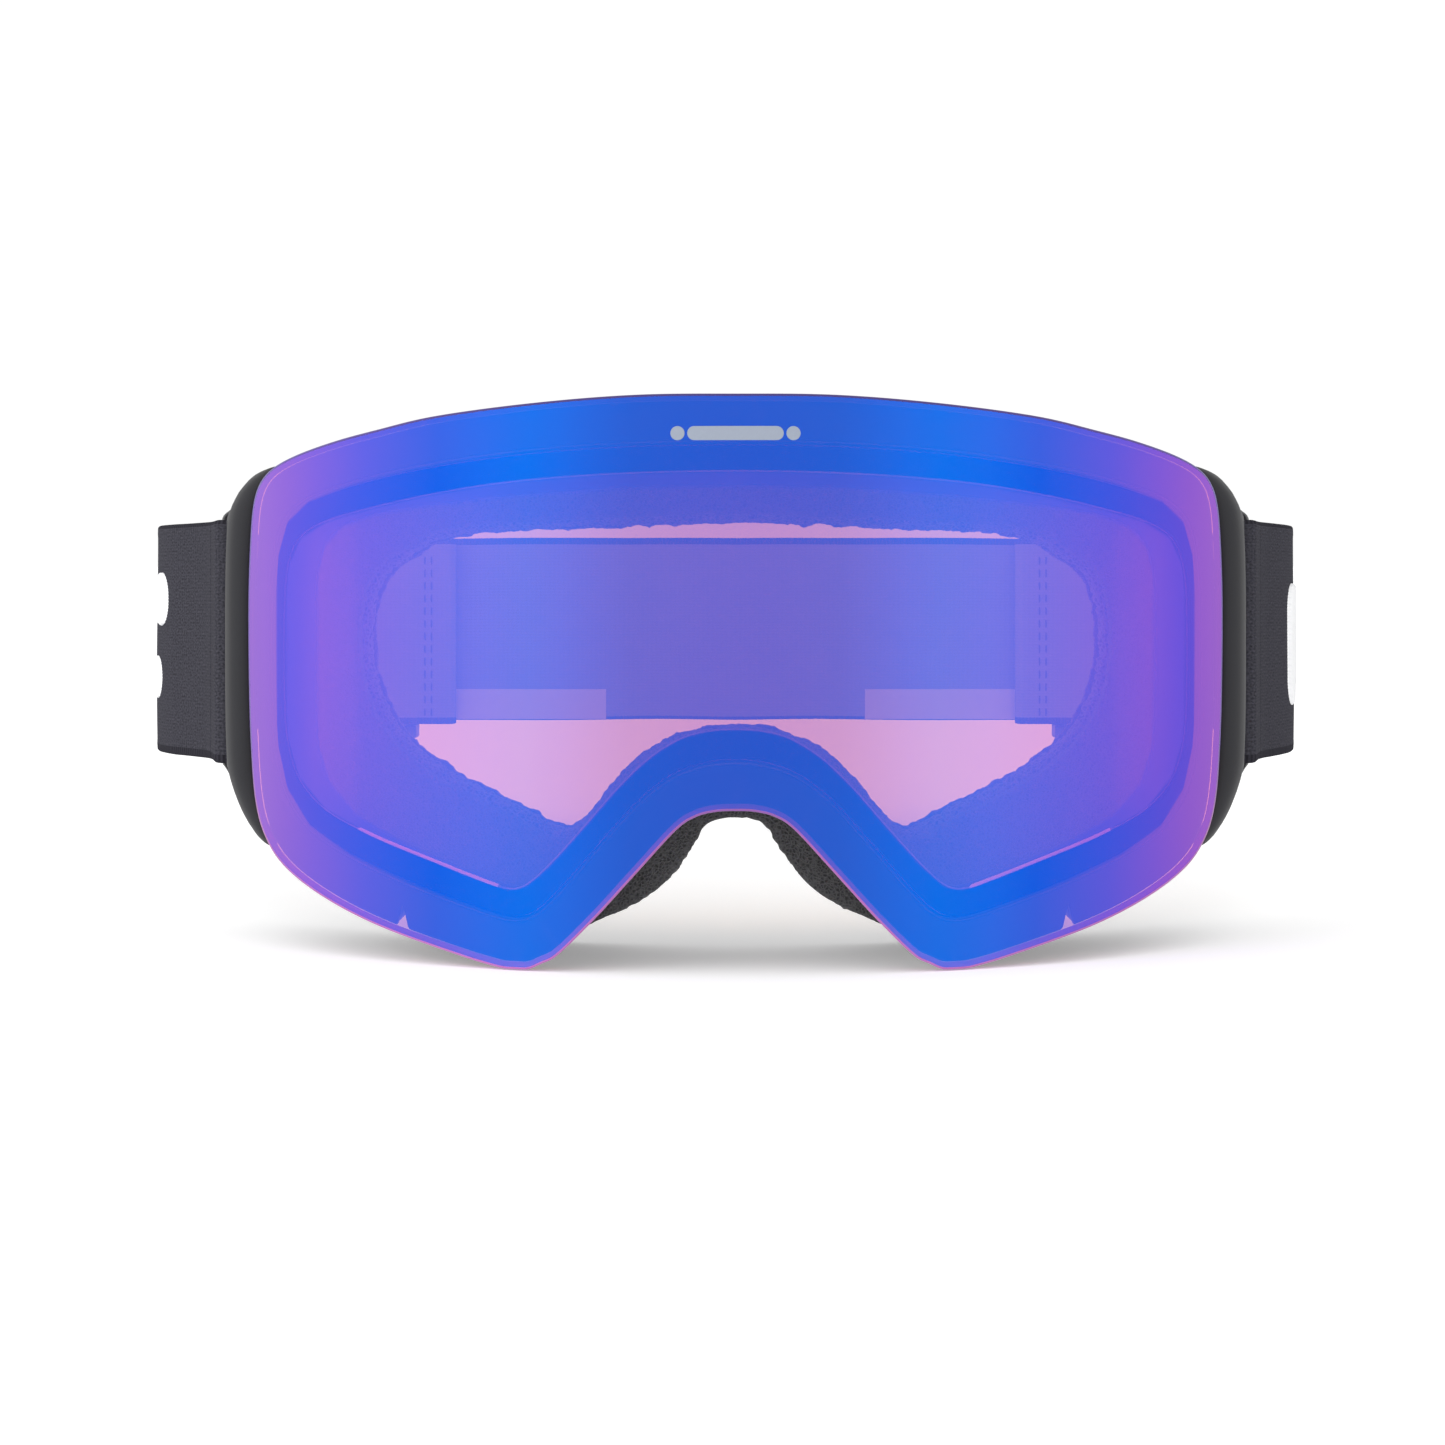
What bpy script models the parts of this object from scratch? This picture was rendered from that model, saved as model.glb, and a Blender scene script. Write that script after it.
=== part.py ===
"""Ski goggles: a cylindrical snap-off lens held by magnets on a soft frame, with face foam, hinged
side arms and an elastic strap with two adjusters.

Built in metres, +Z up; the sizes below are in millimetres. The wearer looks along -Y: the lens
faces -Y and the strap loop is at +Y. "Right" is +X. Lengths along Y are counted from the front of
the lens, and SHIFT_Y then centres the whole object on the Z axis.
"""

import math

import bmesh
import bpy
from mathutils import Matrix, Vector

# ---------------------------------------------------------------- driving dimensions (mm)
MM = 0.001
GAP = 0.3  # clearance between neighbouring pieces
SIDES = (-1, 1)

# Layers of the lens unit and the frame's front, all about one vertical axis.
LENS_R = 108.0
LENS_T = 2.0
CARRIER_T = 2.5
GASKET_T = 3.0
INNER_LENS_T = 1.0
FLANGE_T = 2.5
LENS_BACK_R = LENS_R - LENS_T
CARRIER_R = LENS_BACK_R - GAP  # front of the carrier and the gasket
CARRIER_BACK_R = CARRIER_R - CARRIER_T
INNER_LENS_R = CARRIER_R - GASKET_T - GAP
FRAME_R = CARRIER_BACK_R - GAP
FLANGE_BACK_R = FRAME_R - FLANGE_T
LENS_ARC_HALF = math.radians(57)

FACE_R = 120.0  # radius of the frame's back edge and of the foam, seen from above
FACE_Y = 23.0  # depth of the frame's back edge at the centre
FACE_ARC_HALF = math.radians(48)
ARC_STEPS = 26

FRAME_INSET = 1.2  # frame edge inside the lens edge
CARRIER_LIP = 0.3  # carrier edge outside the frame edge
INNER_LENS_ROOM = 0.5  # openings outside the inner lens's edge
GASKET_INSET = 0.4  # gasket edge inside the inner lens's edge
WALL = 3.0
BACK_FLANGE_T = 2.0

PIN_X, PIN_Y, PIN_R = 87.2, 52.0, 1.1
PIN_OVER = 1.5  # pin beyond the outermost knuckles
BORE_R = PIN_R + GAP
KNUCKLE_R = 2.2
KNUCKLE_WEB_T = 3.6
FRAME_KNUCKLES = ((37.0, 42.0), (62.3, 67.3))  # bottom and top of each
ARM_KNUCKLE = (FRAME_KNUCKLES[0][1] + GAP, FRAME_KNUCKLES[1][0] - GAP)

STRAP_W = 45.0
STRAP_T = 1.6
STRAP_Z = 52.15  # centre height
STRAP_BOTTOM, STRAP_TOP = STRAP_Z - STRAP_W / 2, STRAP_Z + STRAP_W / 2
REAR_X, REAR_Y = 95.8, 229.8  # right end of the straight part across the back

# Faces of the adjusters along Y, from the web's centre line.
SLIDER_IN, SLIDER_OUT = -4.3, 2.95

SHIFT_Y = -(REAR_Y + SLIDER_OUT) / 2  # half of the whole depth, forwards

# Right halves of the closed outlines, from the top centre clockwise to the nose centre: x, z.
LENS_EDGE = [
    (0, 93.1), (16, 93.0), (32.5, 92.0), (49.5, 90.3), (60, 88.4), (68, 86.8), (75.6, 84.8),
    (80.5, 82.8), (83.3, 80.3), (84.8, 76.6), (85.5, 70.5), (85.95, 60), (85.85, 46), (85.4, 34.5),
    (84.4, 25), (82.3, 18.9), (78.3, 14.1), (70.8, 9.75), (60.2, 5.7), (45.7, 1.8), (40.5, 0.55),
    (37.4, 0.0), (34.0, 0.0), (31.4, 1.1), (28.6, 2.7), (22.5, 8.8), (16, 16), (9.6, 23.0),
    (6.4, 25.2), (3.2, 26.05), (0, 26.2)]
INNER_LENS_EDGE = [
    (0, 85.3), (20, 85.0), (38.8, 83.7), (55, 81.6), (66, 79.4), (74.2, 77.0), (78.6, 73.6),
    (80.5, 68.0), (81.2, 60), (81.2, 45), (80.7, 35), (78.6, 27.2), (73.9, 21.2), (66, 16.9),
    (55, 12.9), (45, 9.9), (38.6, 8.2), (35.2, 8.0), (32, 9.4), (27.2, 14.3), (21, 21.5), (15, 28),
    (10, 31.7), (5, 33.5), (0, 34.0)]
GASKET_OPENING = [
    (0, 81.0), (20, 80.6), (38, 79.4), (52, 77.5), (62, 75.6), (70.4, 73.6), (75.8, 70.8),
    (78.3, 66.0), (79.1, 58), (79.1, 45), (78.5, 36), (76.1, 29.2), (70.8, 24.1), (62, 20.3),
    (50, 16.4), (42, 13.8), (37.6, 12.6), (34.5, 13.1), (30.5, 16.5), (24.4, 23.2), (19.0, 29.4),
    (14, 34.2), (9, 37.4), (4.5, 38.7), (0, 39.0)]
FRAME_OPENING = [
    (0, 79.2), (20, 78.8), (38, 77.7), (53, 76.3), (63, 75.0), (69.3, 73.0), (72.9, 69.6),
    (74.4, 64), (74.7, 56), (74.6, 43), (74.1, 34), (71.6, 27.4), (66.3, 22.2), (57, 17.8),
    (46, 13.7), (40, 11.7), (36.4, 11.4), (32.4, 14.4), (26.2, 21.0), (20.6, 27.6), (15.2, 33.0),
    (9.8, 36.2), (5.0, 37.2), (0, 37.4)]
FOAM_EDGE = [
    (0, 90.6), (16, 90.5), (32.5, 89.5), (49.5, 87.8), (60, 86.0), (68, 84.3), (74.8, 82.5),
    (78.9, 80.6), (81.2, 78.4), (82.4, 75.4), (83.0, 70.2), (83.4, 60), (83.3, 46), (82.9, 34.7),
    (81.9, 25.6), (80.0, 20.3), (76.6, 16.2), (69.6, 12.2), (59.4, 8.3), (45.2, 4.4), (39.8, 3.1),
    (35.8, 2.5), (31.6, 2.7), (27.0, 3.8), (22.4, 5.9), (17.2, 8.3), (13.0, 11.2), (9.9, 14.6),
    (7.6, 18.2), (5.4, 21.6), (2.8, 22.9), (0, 23.1)]
FOAM_OPENING = [
    (0, 73.0), (21, 72.4), (36, 71.8), (47, 71.3), (53.5, 69.6), (57.5, 67.2), (61.5, 64.8),
    (63.8, 61.0), (64.8, 55), (64.6, 49), (63.2, 43.5), (59.8, 37.6), (54.5, 32.7), (46.0, 27.9),
    (37.5, 24.2), (31.4, 21.0), (28.6, 20.8), (25.6, 23.2), (20.4, 29.6), (14.9, 34.5), (8.8, 37.2),
    (4.0, 38.3), (0, 38.6)]

# ---------------------------------------------------------------- scene and materials
for old in list(bpy.data.objects):
    bpy.data.objects.remove(old, do_unlink=True)

parts = bpy.data.collections.new("ski_goggles")
cutters = bpy.data.collections.new("cutters")
for group in (parts, cutters):
    bpy.context.scene.collection.children.link(group)


def material(name, colour, roughness, metallic=0.0, transmission=0.0):
    made = bpy.data.materials.new(name)
    made.use_nodes = True
    shader = made.node_tree.nodes["Principled BSDF"]
    shader.inputs["Base Color"].default_value = (*colour, 1.0)
    shader.inputs["Roughness"].default_value = roughness
    shader.inputs["Metallic"].default_value = metallic
    shader.inputs["Transmission Weight"].default_value = transmission
    return made


MIRROR_LENS = material("mirror_lens", colour=(0.08, 0.14, 0.85), roughness=0.05, metallic=0.4)
CLEAR_LENS = material("clear_inner_lens", colour=(0.85, 0.6, 0.72), roughness=0.08,
                      transmission=0.6)
FRAME_PLASTIC = material("frame_plastic", colour=(0.02, 0.02, 0.022), roughness=0.55)
ARM_PLASTIC = material("arm_plastic", colour=(0.035, 0.035, 0.04), roughness=0.5)
BLACK_FOAM = material("black_foam", colour=(0.03, 0.03, 0.03), roughness=1.0)
FLEECE = material("fleece", colour=(0.02, 0.02, 0.022), roughness=1.0)
WEBBING = material("webbing", colour=(0.055, 0.055, 0.065), roughness=0.9)
MAGNET_METAL = material("magnet_metal", colour=(0.6, 0.6, 0.6), roughness=0.3, metallic=1.0)
PIN_STEEL = material("pin_steel", colour=(0.5, 0.5, 0.5), roughness=0.35, metallic=1.0)


# ---------------------------------------------------------------- lines
def vectors(points):
    return [Vector(p) for p in points]


def through(points, steps):
    """A smooth open line through the points (Catmull-Rom)."""
    points = vectors(points)
    ends = [points[0]] + points + [points[-1]]
    line = []
    for i in range(1, len(ends) - 2):
        before, start, end, after = ends[i - 1:i + 3]
        for k in range(steps):
            t = k / steps
            line.append(0.5 * ((2 * start) + (end - before) * t
                               + (2 * before - 5 * start + 4 * end - after) * t * t
                               + (3 * start - before - 3 * end + after) * t ** 3))
    line.append(points[-1])
    return line


def thinned(line, tolerance):
    """The line without points within tolerance of a straight run (Douglas-Peucker)."""
    if len(line) < 3:
        return list(line)
    start, end = line[0], line[-1]
    along = end - start
    worst, at = 0.0, 0
    for i in range(1, len(line) - 1):
        p = line[i] - start
        if along.length > 1e-9:
            away = abs(along.x * p.y - along.y * p.x) / along.length
        else:
            away = p.length
        if away > worst:
            worst, at = away, i
    if worst <= tolerance:
        return [start, end]
    return thinned(line[:at + 1], tolerance)[:-1] + thinned(line[at:], tolerance)


def outline(half, tolerance=0.1):
    """The whole closed outline from its right half, kept at or above z = 0."""
    steps = 6
    # One mirrored point at each end makes the curve run level through the centre line.
    (x0, z0), (x1, z1) = half[1], half[-2]
    smooth = through([(-x0, z0)] + half + [(-x1, z1)], steps)[steps:-steps]
    right = thinned([Vector((p.x, max(p.y, 0.0))) for p in smooth], tolerance)
    left = [Vector((-p.x, p.y)) for p in reversed(right[1:-1])]
    return right + left


def inset(line, distance):
    """A closed clockwise outline moved inwards by a small distance."""
    moved = []
    for i, p in enumerate(line):
        arriving = (p - line[i - 1]).normalized()
        leaving = (line[(i + 1) % len(line)] - p).normalized()
        normal = Vector((arriving.y + leaving.y, -arriving.x - leaving.x)).normalized()
        share = max(0.5, normal.dot(Vector((arriving.y, -arriving.x))))
        moved.append(p + normal * (distance / share))
    return moved


def beside(line, distance):
    """An open line moved to its left by a distance."""
    moved = []
    last = len(line) - 1
    for i, p in enumerate(line):
        arriving = (p - line[i - 1] if i else line[1] - p).normalized()
        leaving = (line[i + 1] - p).normalized() if i < last else arriving
        normal = Vector((-(arriving.y + leaving.y), arriving.x + leaving.x)).normalized()
        share = max(0.5, normal.dot(Vector((-arriving.y, arriving.x))))
        moved.append(p + normal * (distance / share))
    return moved


def arc(radius, centre_y, half_angle):
    """Points of an arc seen from above, bulging towards -Y, from left to right."""
    angles = [-half_angle + 2 * half_angle * k / ARC_STEPS for k in range(ARC_STEPS + 1)]
    return [Vector((radius * math.sin(a), centre_y - radius * math.cos(a))) for a in angles]


def lens_arc(radius):
    return arc(radius, LENS_R, LENS_ARC_HALF)


def face_arc(depth):
    """The frame's back curve, moved this far back."""
    return arc(FACE_R, FACE_Y + depth + FACE_R, FACE_ARC_HALF)


# ---------------------------------------------------------------- solids
def helper(name, mesh):
    """An object in the cutters' collection, hidden from renders."""
    obj = bpy.data.objects.new(name, mesh)
    cutters.objects.link(obj)
    obj.hide_render = True
    obj.display_type = "WIRE"
    return obj


def mesh_from(shape, name):
    """Turns a bmesh into a mesh and frees it."""
    mesh = bpy.data.meshes.new(name)
    shape.to_mesh(mesh)
    shape.free()
    return mesh


def extruded(name, line, length, matrix):
    """A closed mesh: an outline filled in local XY, extruded evenly about it, then placed."""
    curve = bpy.data.curves.new(name, "CURVE")
    curve.dimensions = "2D"
    curve.fill_mode = "BOTH"
    curve.extrude = length / 2 * MM
    spline = curve.splines.new("POLY")
    spline.points.add(len(line) - 1)
    for point, p in zip(spline.points, line):
        point.co = (p[0] * MM, p[1] * MM, 0, 1)
    spline.use_cyclic_u = True
    obj = bpy.data.objects.new(name, curve)
    cutters.objects.link(obj)
    obj.matrix_world = matrix
    bpy.context.view_layer.update()

    final_name, placed = obj.name, obj.matrix_world.copy()
    graph = bpy.context.evaluated_depsgraph_get()
    mesh = bpy.data.meshes.new_from_object(obj.evaluated_get(graph))
    bpy.data.objects.remove(obj, do_unlink=True)
    mesh.transform(placed)
    # The caps and sides come unjoined, so they are welded.
    shape = bmesh.new()
    shape.from_mesh(mesh)
    bmesh.ops.remove_doubles(shape, verts=shape.verts, dist=1e-6)
    bmesh.ops.recalc_face_normals(shape, faces=shape.faces)
    shape.to_mesh(mesh)
    shape.free()
    return helper(final_name, mesh)


def plan_prism(name, line, z0, z1):
    """An outline seen from above, extruded along Z."""
    matrix = Matrix.Translation((0, SHIFT_Y * MM, (z0 + z1) / 2 * MM))
    return extruded(name, line, z1 - z0, matrix)


def front_prism(name, line, y0=-20, y1=120):
    """An outline in the XZ plane, extruded along Y, by default through the whole frame."""
    matrix = (Matrix.Translation((0, ((y0 + y1) / 2 + SHIFT_Y) * MM, 0))
              @ Matrix.Rotation(math.pi / 2, 4, "X"))
    return extruded(name, line, y1 - y0, matrix)


def side_prism(name, line, x0=80, x1=110):
    """An outline in the YZ plane, extruded along X, by default through the right arm."""
    # local x to world y, local y to world z, local z to world x
    axes = Matrix(((0, 0, 1, 0), (1, 0, 0, 0), (0, 1, 0, 0), (0, 0, 0, 1)))
    matrix = Matrix.Translation(((x0 + x1) / 2 * MM, 0, 0)) @ axes
    shifted = [(p[0] + SHIFT_Y, p[1]) for p in line]
    return extruded(name, shifted, x1 - x0, matrix)


def block(name, centre, size, turn=None):
    """A box, turned about its centre by the matrix."""
    shape = bmesh.new()
    bmesh.ops.create_cube(shape, size=1.0)
    bmesh.ops.scale(shape, vec=Vector(size) * MM, verts=shape.verts)
    mesh = mesh_from(shape, name)
    if turn is not None:
        mesh.transform(turn)
    x, y, z = centre
    mesh.transform(Matrix.Translation(Vector((x, y + SHIFT_Y, z)) * MM))
    return helper(name, mesh)


def rod(name, x, y, z0, z1, radius, segments=20):
    """A vertical cylinder."""
    shape = bmesh.new()
    bmesh.ops.create_cone(shape, cap_ends=True, segments=segments, radius1=radius * MM,
                          radius2=radius * MM, depth=(z1 - z0) * MM)
    mesh = mesh_from(shape, name)
    mesh.transform(Matrix.Translation(Vector((x, y + SHIFT_Y, (z0 + z1) / 2)) * MM))
    return helper(name, mesh)


def ribbon(name, line, thickness, z0=STRAP_BOTTOM, z1=STRAP_TOP):
    """A strip of webbing along a line seen from above."""
    left = beside(line, thickness / 2)
    right = beside(line, -thickness / 2)
    return plan_prism(name, left + list(reversed(right)), z0, z1)


def combine(target, other, operation):
    """Applies a Boolean of other to target."""
    modifier = target.modifiers.new("boolean", "BOOLEAN")
    modifier.operation = operation
    modifier.solver = "EXACT"
    modifier.object = other
    bpy.context.view_layer.update()
    graph = bpy.context.evaluated_depsgraph_get()
    mesh = bpy.data.meshes.new_from_object(target.evaluated_get(graph))
    target.modifiers.clear()
    target.data = mesh
    return target


def cut(target, *tools):
    for tool in tools:
        combine(target, tool, "DIFFERENCE")


def trimmed_layer(name, front, back, cutter_name, edge):
    """The space between two lines seen from above, trimmed to an outline in the front view."""
    solid = plan_prism(name, front + list(reversed(back)), -6, 100)
    return combine(solid, front_prism(cutter_name, edge), "INTERSECT")


def ring(name, front, back, edge, opening):
    """A trimmed layer with an opening."""
    solid = trimmed_layer(name, front, back, "outer_cut", edge)
    cut(solid, front_prism("inner_cut", opening))
    return solid


def finish(obj, name, surface):
    """Moves a finished solid into the parts' collection, named and shaded."""
    cutters.objects.unlink(obj)
    parts.objects.link(obj)
    obj.hide_render = False
    obj.display_type = "TEXTURED"
    obj.name = name
    obj.data.name = name
    obj.data.materials.clear()
    obj.data.materials.append(surface)
    obj.data.shade_smooth()
    obj.data.set_sharp_from_angle(angle=math.radians(30))


def finish_pair(obj, name, surface):
    """Finishes a right-hand piece and adds its left-hand twin."""
    finish(obj, f"{name}_right", surface)
    mesh = obj.data.copy()
    mesh.transform(Matrix.Scale(-1, 4, (1, 0, 0)))
    mesh.flip_normals()
    mesh.name = f"{name}_left"
    parts.objects.link(bpy.data.objects.new(f"{name}_left", mesh))


lens_line = outline(LENS_EDGE, tolerance=0.06)
frame_line = inset(outline(LENS_EDGE), FRAME_INSET)
inner_lens_line = outline(INNER_LENS_EDGE)
inner_lens_room = inset(inner_lens_line, -INNER_LENS_ROOM)

# ---------------------------------------------------------------- magnets and notches
MAGNET_L, MAGNET_W, MAGNET_T = 8.0, 3.2, 1.3
MAGNET_SUNK = 0.02  # magnet face below the surface that it sits in
POCKET_T = 2.7
POCKET_SUNK = 0.35  # pocket's middle below that surface; the pocket runs out through it

# Right half: x, z and the downward tilt of the long side towards +X (degrees, negated).
MAGNET_PLACES = [(27.0, 88.3, -4.0), (60.0, 84.1, -11.0), (64.5, 11.6, 22.0)]

NOTCH_X, NOTCH_HALF_W = 55.6, 1.3
NOTCH_BOTTOM, NOTCH_SHOULDER, NOTCH_TIP = -2.0, 4.0, 9.4


def curved_block(name, place, radius, size):
    """A flat box laid on the lens's curve: its length in the front view, thickness radial."""
    x, z, tilt = place
    angle = math.asin(x / FRAME_R)
    centre = (radius * math.sin(angle), LENS_R - radius * math.cos(angle), z)
    turn = Matrix.Rotation(angle, 4, "Z") @ Matrix.Rotation(math.radians(-tilt), 4, "Y")
    return block(name, centre, size, turn)


def build_magnets(name, pocket_name, surface_r, inwards):
    """Six magnets sunk in a surface; inwards is +1 where that is to a larger radius, else -1.

    Returns the cutters for their pockets.
    """
    places = [(side * x, z, tilt * side) for side in SIDES for x, z, tilt in MAGNET_PLACES]
    magnet_r = surface_r + inwards * (MAGNET_T / 2 + MAGNET_SUNK)
    pocket_size = (MAGNET_L + 2 * GAP, POCKET_T, MAGNET_W + 2 * GAP)
    pockets = []
    for number, place in enumerate(places, 1):
        magnet = curved_block("magnet", place, magnet_r, (MAGNET_L, MAGNET_T, MAGNET_W))
        finish(magnet, f"{name}_{number}", MAGNET_METAL)
        pocket_r = surface_r + inwards * POCKET_SUNK
        pockets.append(curved_block(pocket_name, place, pocket_r, pocket_size))
    return pockets


def edge_notches():
    """Cutters for two pointed notches in the lower edge of the carrier or the frame."""
    notches = []
    for side in SIDES:
        x = NOTCH_X * side
        kite = [(x - NOTCH_HALF_W, NOTCH_SHOULDER), (x, NOTCH_TIP),
                (x + NOTCH_HALF_W, NOTCH_SHOULDER), (x, NOTCH_BOTTOM)]
        notches.append(front_prism("notch", vectors(kite), -10, 38))
    return notches


# ---------------------------------------------------------------- lens unit
def build_outer_lens():
    # An outer lens has no opening.
    lens = trimmed_layer("outer_lens", lens_arc(LENS_R), lens_arc(LENS_BACK_R), "outer_cut",
                         lens_line)
    finish(lens, "outer_lens", MIRROR_LENS)


def build_gasket():
    gasket = ring("lens_gasket", lens_arc(CARRIER_R), lens_arc(CARRIER_R - GASKET_T),
                  inset(inner_lens_line, GASKET_INSET), outline(GASKET_OPENING))
    finish(gasket, "lens_gasket", BLACK_FOAM)


def build_inner_lens():
    lens = trimmed_layer("inner_lens", lens_arc(INNER_LENS_R),
                         lens_arc(INNER_LENS_R - INNER_LENS_T), "outer_cut", inner_lens_line)
    finish(lens, "inner_lens", CLEAR_LENS)


def build_carrier():
    carrier = ring("lens_carrier", lens_arc(CARRIER_R), lens_arc(CARRIER_BACK_R),
                   inset(frame_line, -CARRIER_LIP), inner_lens_room)
    pockets = build_magnets("lens_magnet", "carrier_pocket", CARRIER_BACK_R, inwards=1)
    cut(carrier, *edge_notches(), *pockets)
    finish(carrier, "lens_carrier", FRAME_PLASTIC)


# ---------------------------------------------------------------- frame
LUG_WEB_L = 4.7
VENT_TURN_R = 114.0  # the vents turn with a wall of this radius

# Vents through the top and lower walls, right half: name, (x, y, z) of the centre, size.
TOP_VENT, LOWER_VENT = (13.0, 5.0, 16), (11.0, 4.4, 12)
VENTS = [
    ("top_vent", (9.5, 14.0, 88), TOP_VENT),
    ("top_vent", (28.5, 17.6, 88), TOP_VENT),
    ("top_vent", (47.0, 25.2, 88), TOP_VENT),
    ("lower_vent", (46.0, 25.0, 4), LOWER_VENT),
    ("lower_vent", (68.0, 37.2, 10), LOWER_VENT),
]

VENT_FOAM_T = 1.5
# Boxes that the vent foam is kept within: centre, size.
VENT_FOAM_TOP = ((0, 40, 90), (114, 90, 26))
VENT_FOAM_LOW = ((57.5, 40, 10), (37, 90, 24))


def knuckle(name, web_name, pin_x, web, z0, z1):
    """A hinge knuckle round the pin with a web beside it, whose length is signed along X."""
    barrel = rod(name, pin_x, PIN_Y, z0, z1, KNUCKLE_R)
    web_block = block(web_name, (pin_x + web / 2, PIN_Y, (z0 + z1) / 2),
                      (abs(web), KNUCKLE_WEB_T, z1 - z0))
    return combine(barrel, web_block, "UNION")


def hollow_frame():
    """The frame's walls and flanges, open at the front and the back."""
    frame = trimmed_layer("frame_shell", lens_arc(FRAME_R), face_arc(0), "frame_cut", frame_line)
    cut(frame, trimmed_layer("hollow", lens_arc(FLANGE_BACK_R), face_arc(-BACK_FLANGE_T),
                             "hollow_cut", inset(frame_line, WALL)))
    cut(frame, trimmed_layer("front_way", lens_arc(FRAME_R + 4), lens_arc(FLANGE_BACK_R - 1.0),
                             "front_way_cut", inner_lens_room))
    cut(frame, front_prism("back_way", outline(FRAME_OPENING)))
    return frame


def build_frame():
    frame = hollow_frame()
    for name, (x, y, z), size in VENTS:
        for side in SIDES:
            turn = Matrix.Rotation(math.asin(x / VENT_TURN_R) * side, 4, "Z")
            cut(frame, block(name, (x * side, y, z), size, turn))
    for side in SIDES:
        for z0, z1 in FRAME_KNUCKLES:
            lug = knuckle("lug", "lug_web", PIN_X * side, -LUG_WEB_L * side, z0, z1)
            cut(lug, rod("lug_bore", PIN_X * side, PIN_Y, z0 - 1, z1 + 1, BORE_R))
            combine(frame, lug, "UNION")
    pockets = build_magnets("frame_magnet", "frame_pocket", FRAME_R, inwards=-1)
    cut(frame, *edge_notches(), *pockets)
    finish(frame, "frame_shell", FRAME_PLASTIC)


def build_vent_foam():
    """Thin foam behind the vents: strips of one ring inside the frame's wall."""
    whole = ring("vent_ring", lens_arc(FLANGE_BACK_R - GAP), face_arc(-BACK_FLANGE_T - GAP),
                 inset(frame_line, WALL + GAP), inset(frame_line, WALL + GAP + VENT_FOAM_T))
    top = helper("vent_foam_top", whole.data.copy())
    combine(top, block("top_part", *VENT_FOAM_TOP), "INTERSECT")
    finish(top, "vent_foam_top", BLACK_FOAM)
    low = helper("vent_foam_low", whole.data.copy())
    combine(low, block("low_part", *VENT_FOAM_LOW), "INTERSECT")
    finish_pair(low, "vent_foam_lower", BLACK_FOAM)


# ---------------------------------------------------------------- face foam
# From front to back: name, depth of the back face, how much wider the opening is, material.
FOAM_LAYERS = [
    ("face_foam_base", 5.0, 1.6, BLACK_FOAM),
    ("face_foam_soft", 13.0, 0.8, BLACK_FOAM),
    ("face_fleece", 15.8, 0.0, FLEECE),
]


def build_face_foam():
    edge, opening = outline(FOAM_EDGE), outline(FOAM_OPENING)
    near = GAP
    for name, far, wider, surface in FOAM_LAYERS:
        pad = ring(name, face_arc(near), face_arc(far), edge, inset(opening, -wider))
        finish(pad, name, surface)
        near = far + GAP


# ---------------------------------------------------------------- side arms
# The arm's section seen from above, from its lip beside the lens to its rear edge: x, y.
# The inner skin is paired with the outer skin point by point.
ARM_SKIN = [
    (86.05, 47.1), (87.3, 46.75), (88.6, 46.95), (89.8, 47.8), (90.8, 49.3), (91.6, 51.3),
    (92.2, 54.0), (92.8, 57.6), (93.6, 62.0), (94.9, 67.0), (96.1, 71.2)]
ARM_INNER = [
    (86.05, 48.4), (87.0, 48.15), (88.0, 48.3), (89.0, 48.9), (89.6, 50.0), (89.9, 51.5),
    (90.1, 54.1), (90.6, 58.0), (91.38, 62.55), (92.7, 67.6), (93.88, 71.85)]
# At each height, the x of the arm's lip and the x of its skin at the fullest: z, x, x.
ARM_ROWS = [
    (14.8, 79.2, 83.7), (16.0, 80.3, 85.1), (17.6, 81.6, 86.6), (19.7, 82.85, 88.1),
    (21.2, 83.45, 89.0), (22.6, 83.95, 89.7), (24.0, 84.3, 90.3), (25.5, 84.65, 90.9),
    (27.0, 84.85, 91.4), (28.4, 85.05, 91.8), (29.3, 85.15, 91.95), (31.0, 85.3, 92.2),
    (36.0, 85.6, 92.4), (44.0, 85.95, 92.5), (52.0, 86.05, 92.5), (60.0, 86.05, 92.5),
    (67.0, 85.85, 92.4), (72.0, 85.5, 92.2), (75.2, 85.15, 91.8), (76.8, 84.9, 91.3),
    (78.2, 84.5, 90.6), (79.4, 84.0, 89.9), (80.5, 83.3, 89.0), (81.6, 82.3, 88.0),
    (82.6, 81.0, 86.7), (83.5, 79.6, 85.0), (84.2, 78.6, 83.4)]
# The arm seen from the side: y, z.
ARM_SIDE = [
    (44.0, 15.7), (49.0, 16.2), (51.5, 17.5), (54.0, 19.6), (57.0, 23.0), (61.0, 25.6),
    (66.0, 26.4), (70.2, 26.6), (71.0, 27.6), (71.0, 76.7), (70.2, 77.7), (66.0, 77.9),
    (61.0, 78.6), (57.0, 80.4), (54.0, 82.0), (51.5, 83.0), (49.0, 83.6), (44.0, 83.7)]

# Places along the section at mid height, by x.
MID_LIP = ARM_SKIN[0][0]
MID_FULL = 92.5
BAR_START = 93.9  # where the strap bar begins

STRAIGHT_REAR = (29.0, 75.4)  # heights between which the rear edge is straight
REAR_FULL = 92.1  # beyond them it moves with the fullest point, from this x
REAR_PULL = 2.0  # and by this many times as much

ARM_T = 2.3
ARM_WEB_L = 3.8
SLOT_Y = (61.6, 66.4)  # front and back of the strap slot
SLOT_HALF_H = 23.6


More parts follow.
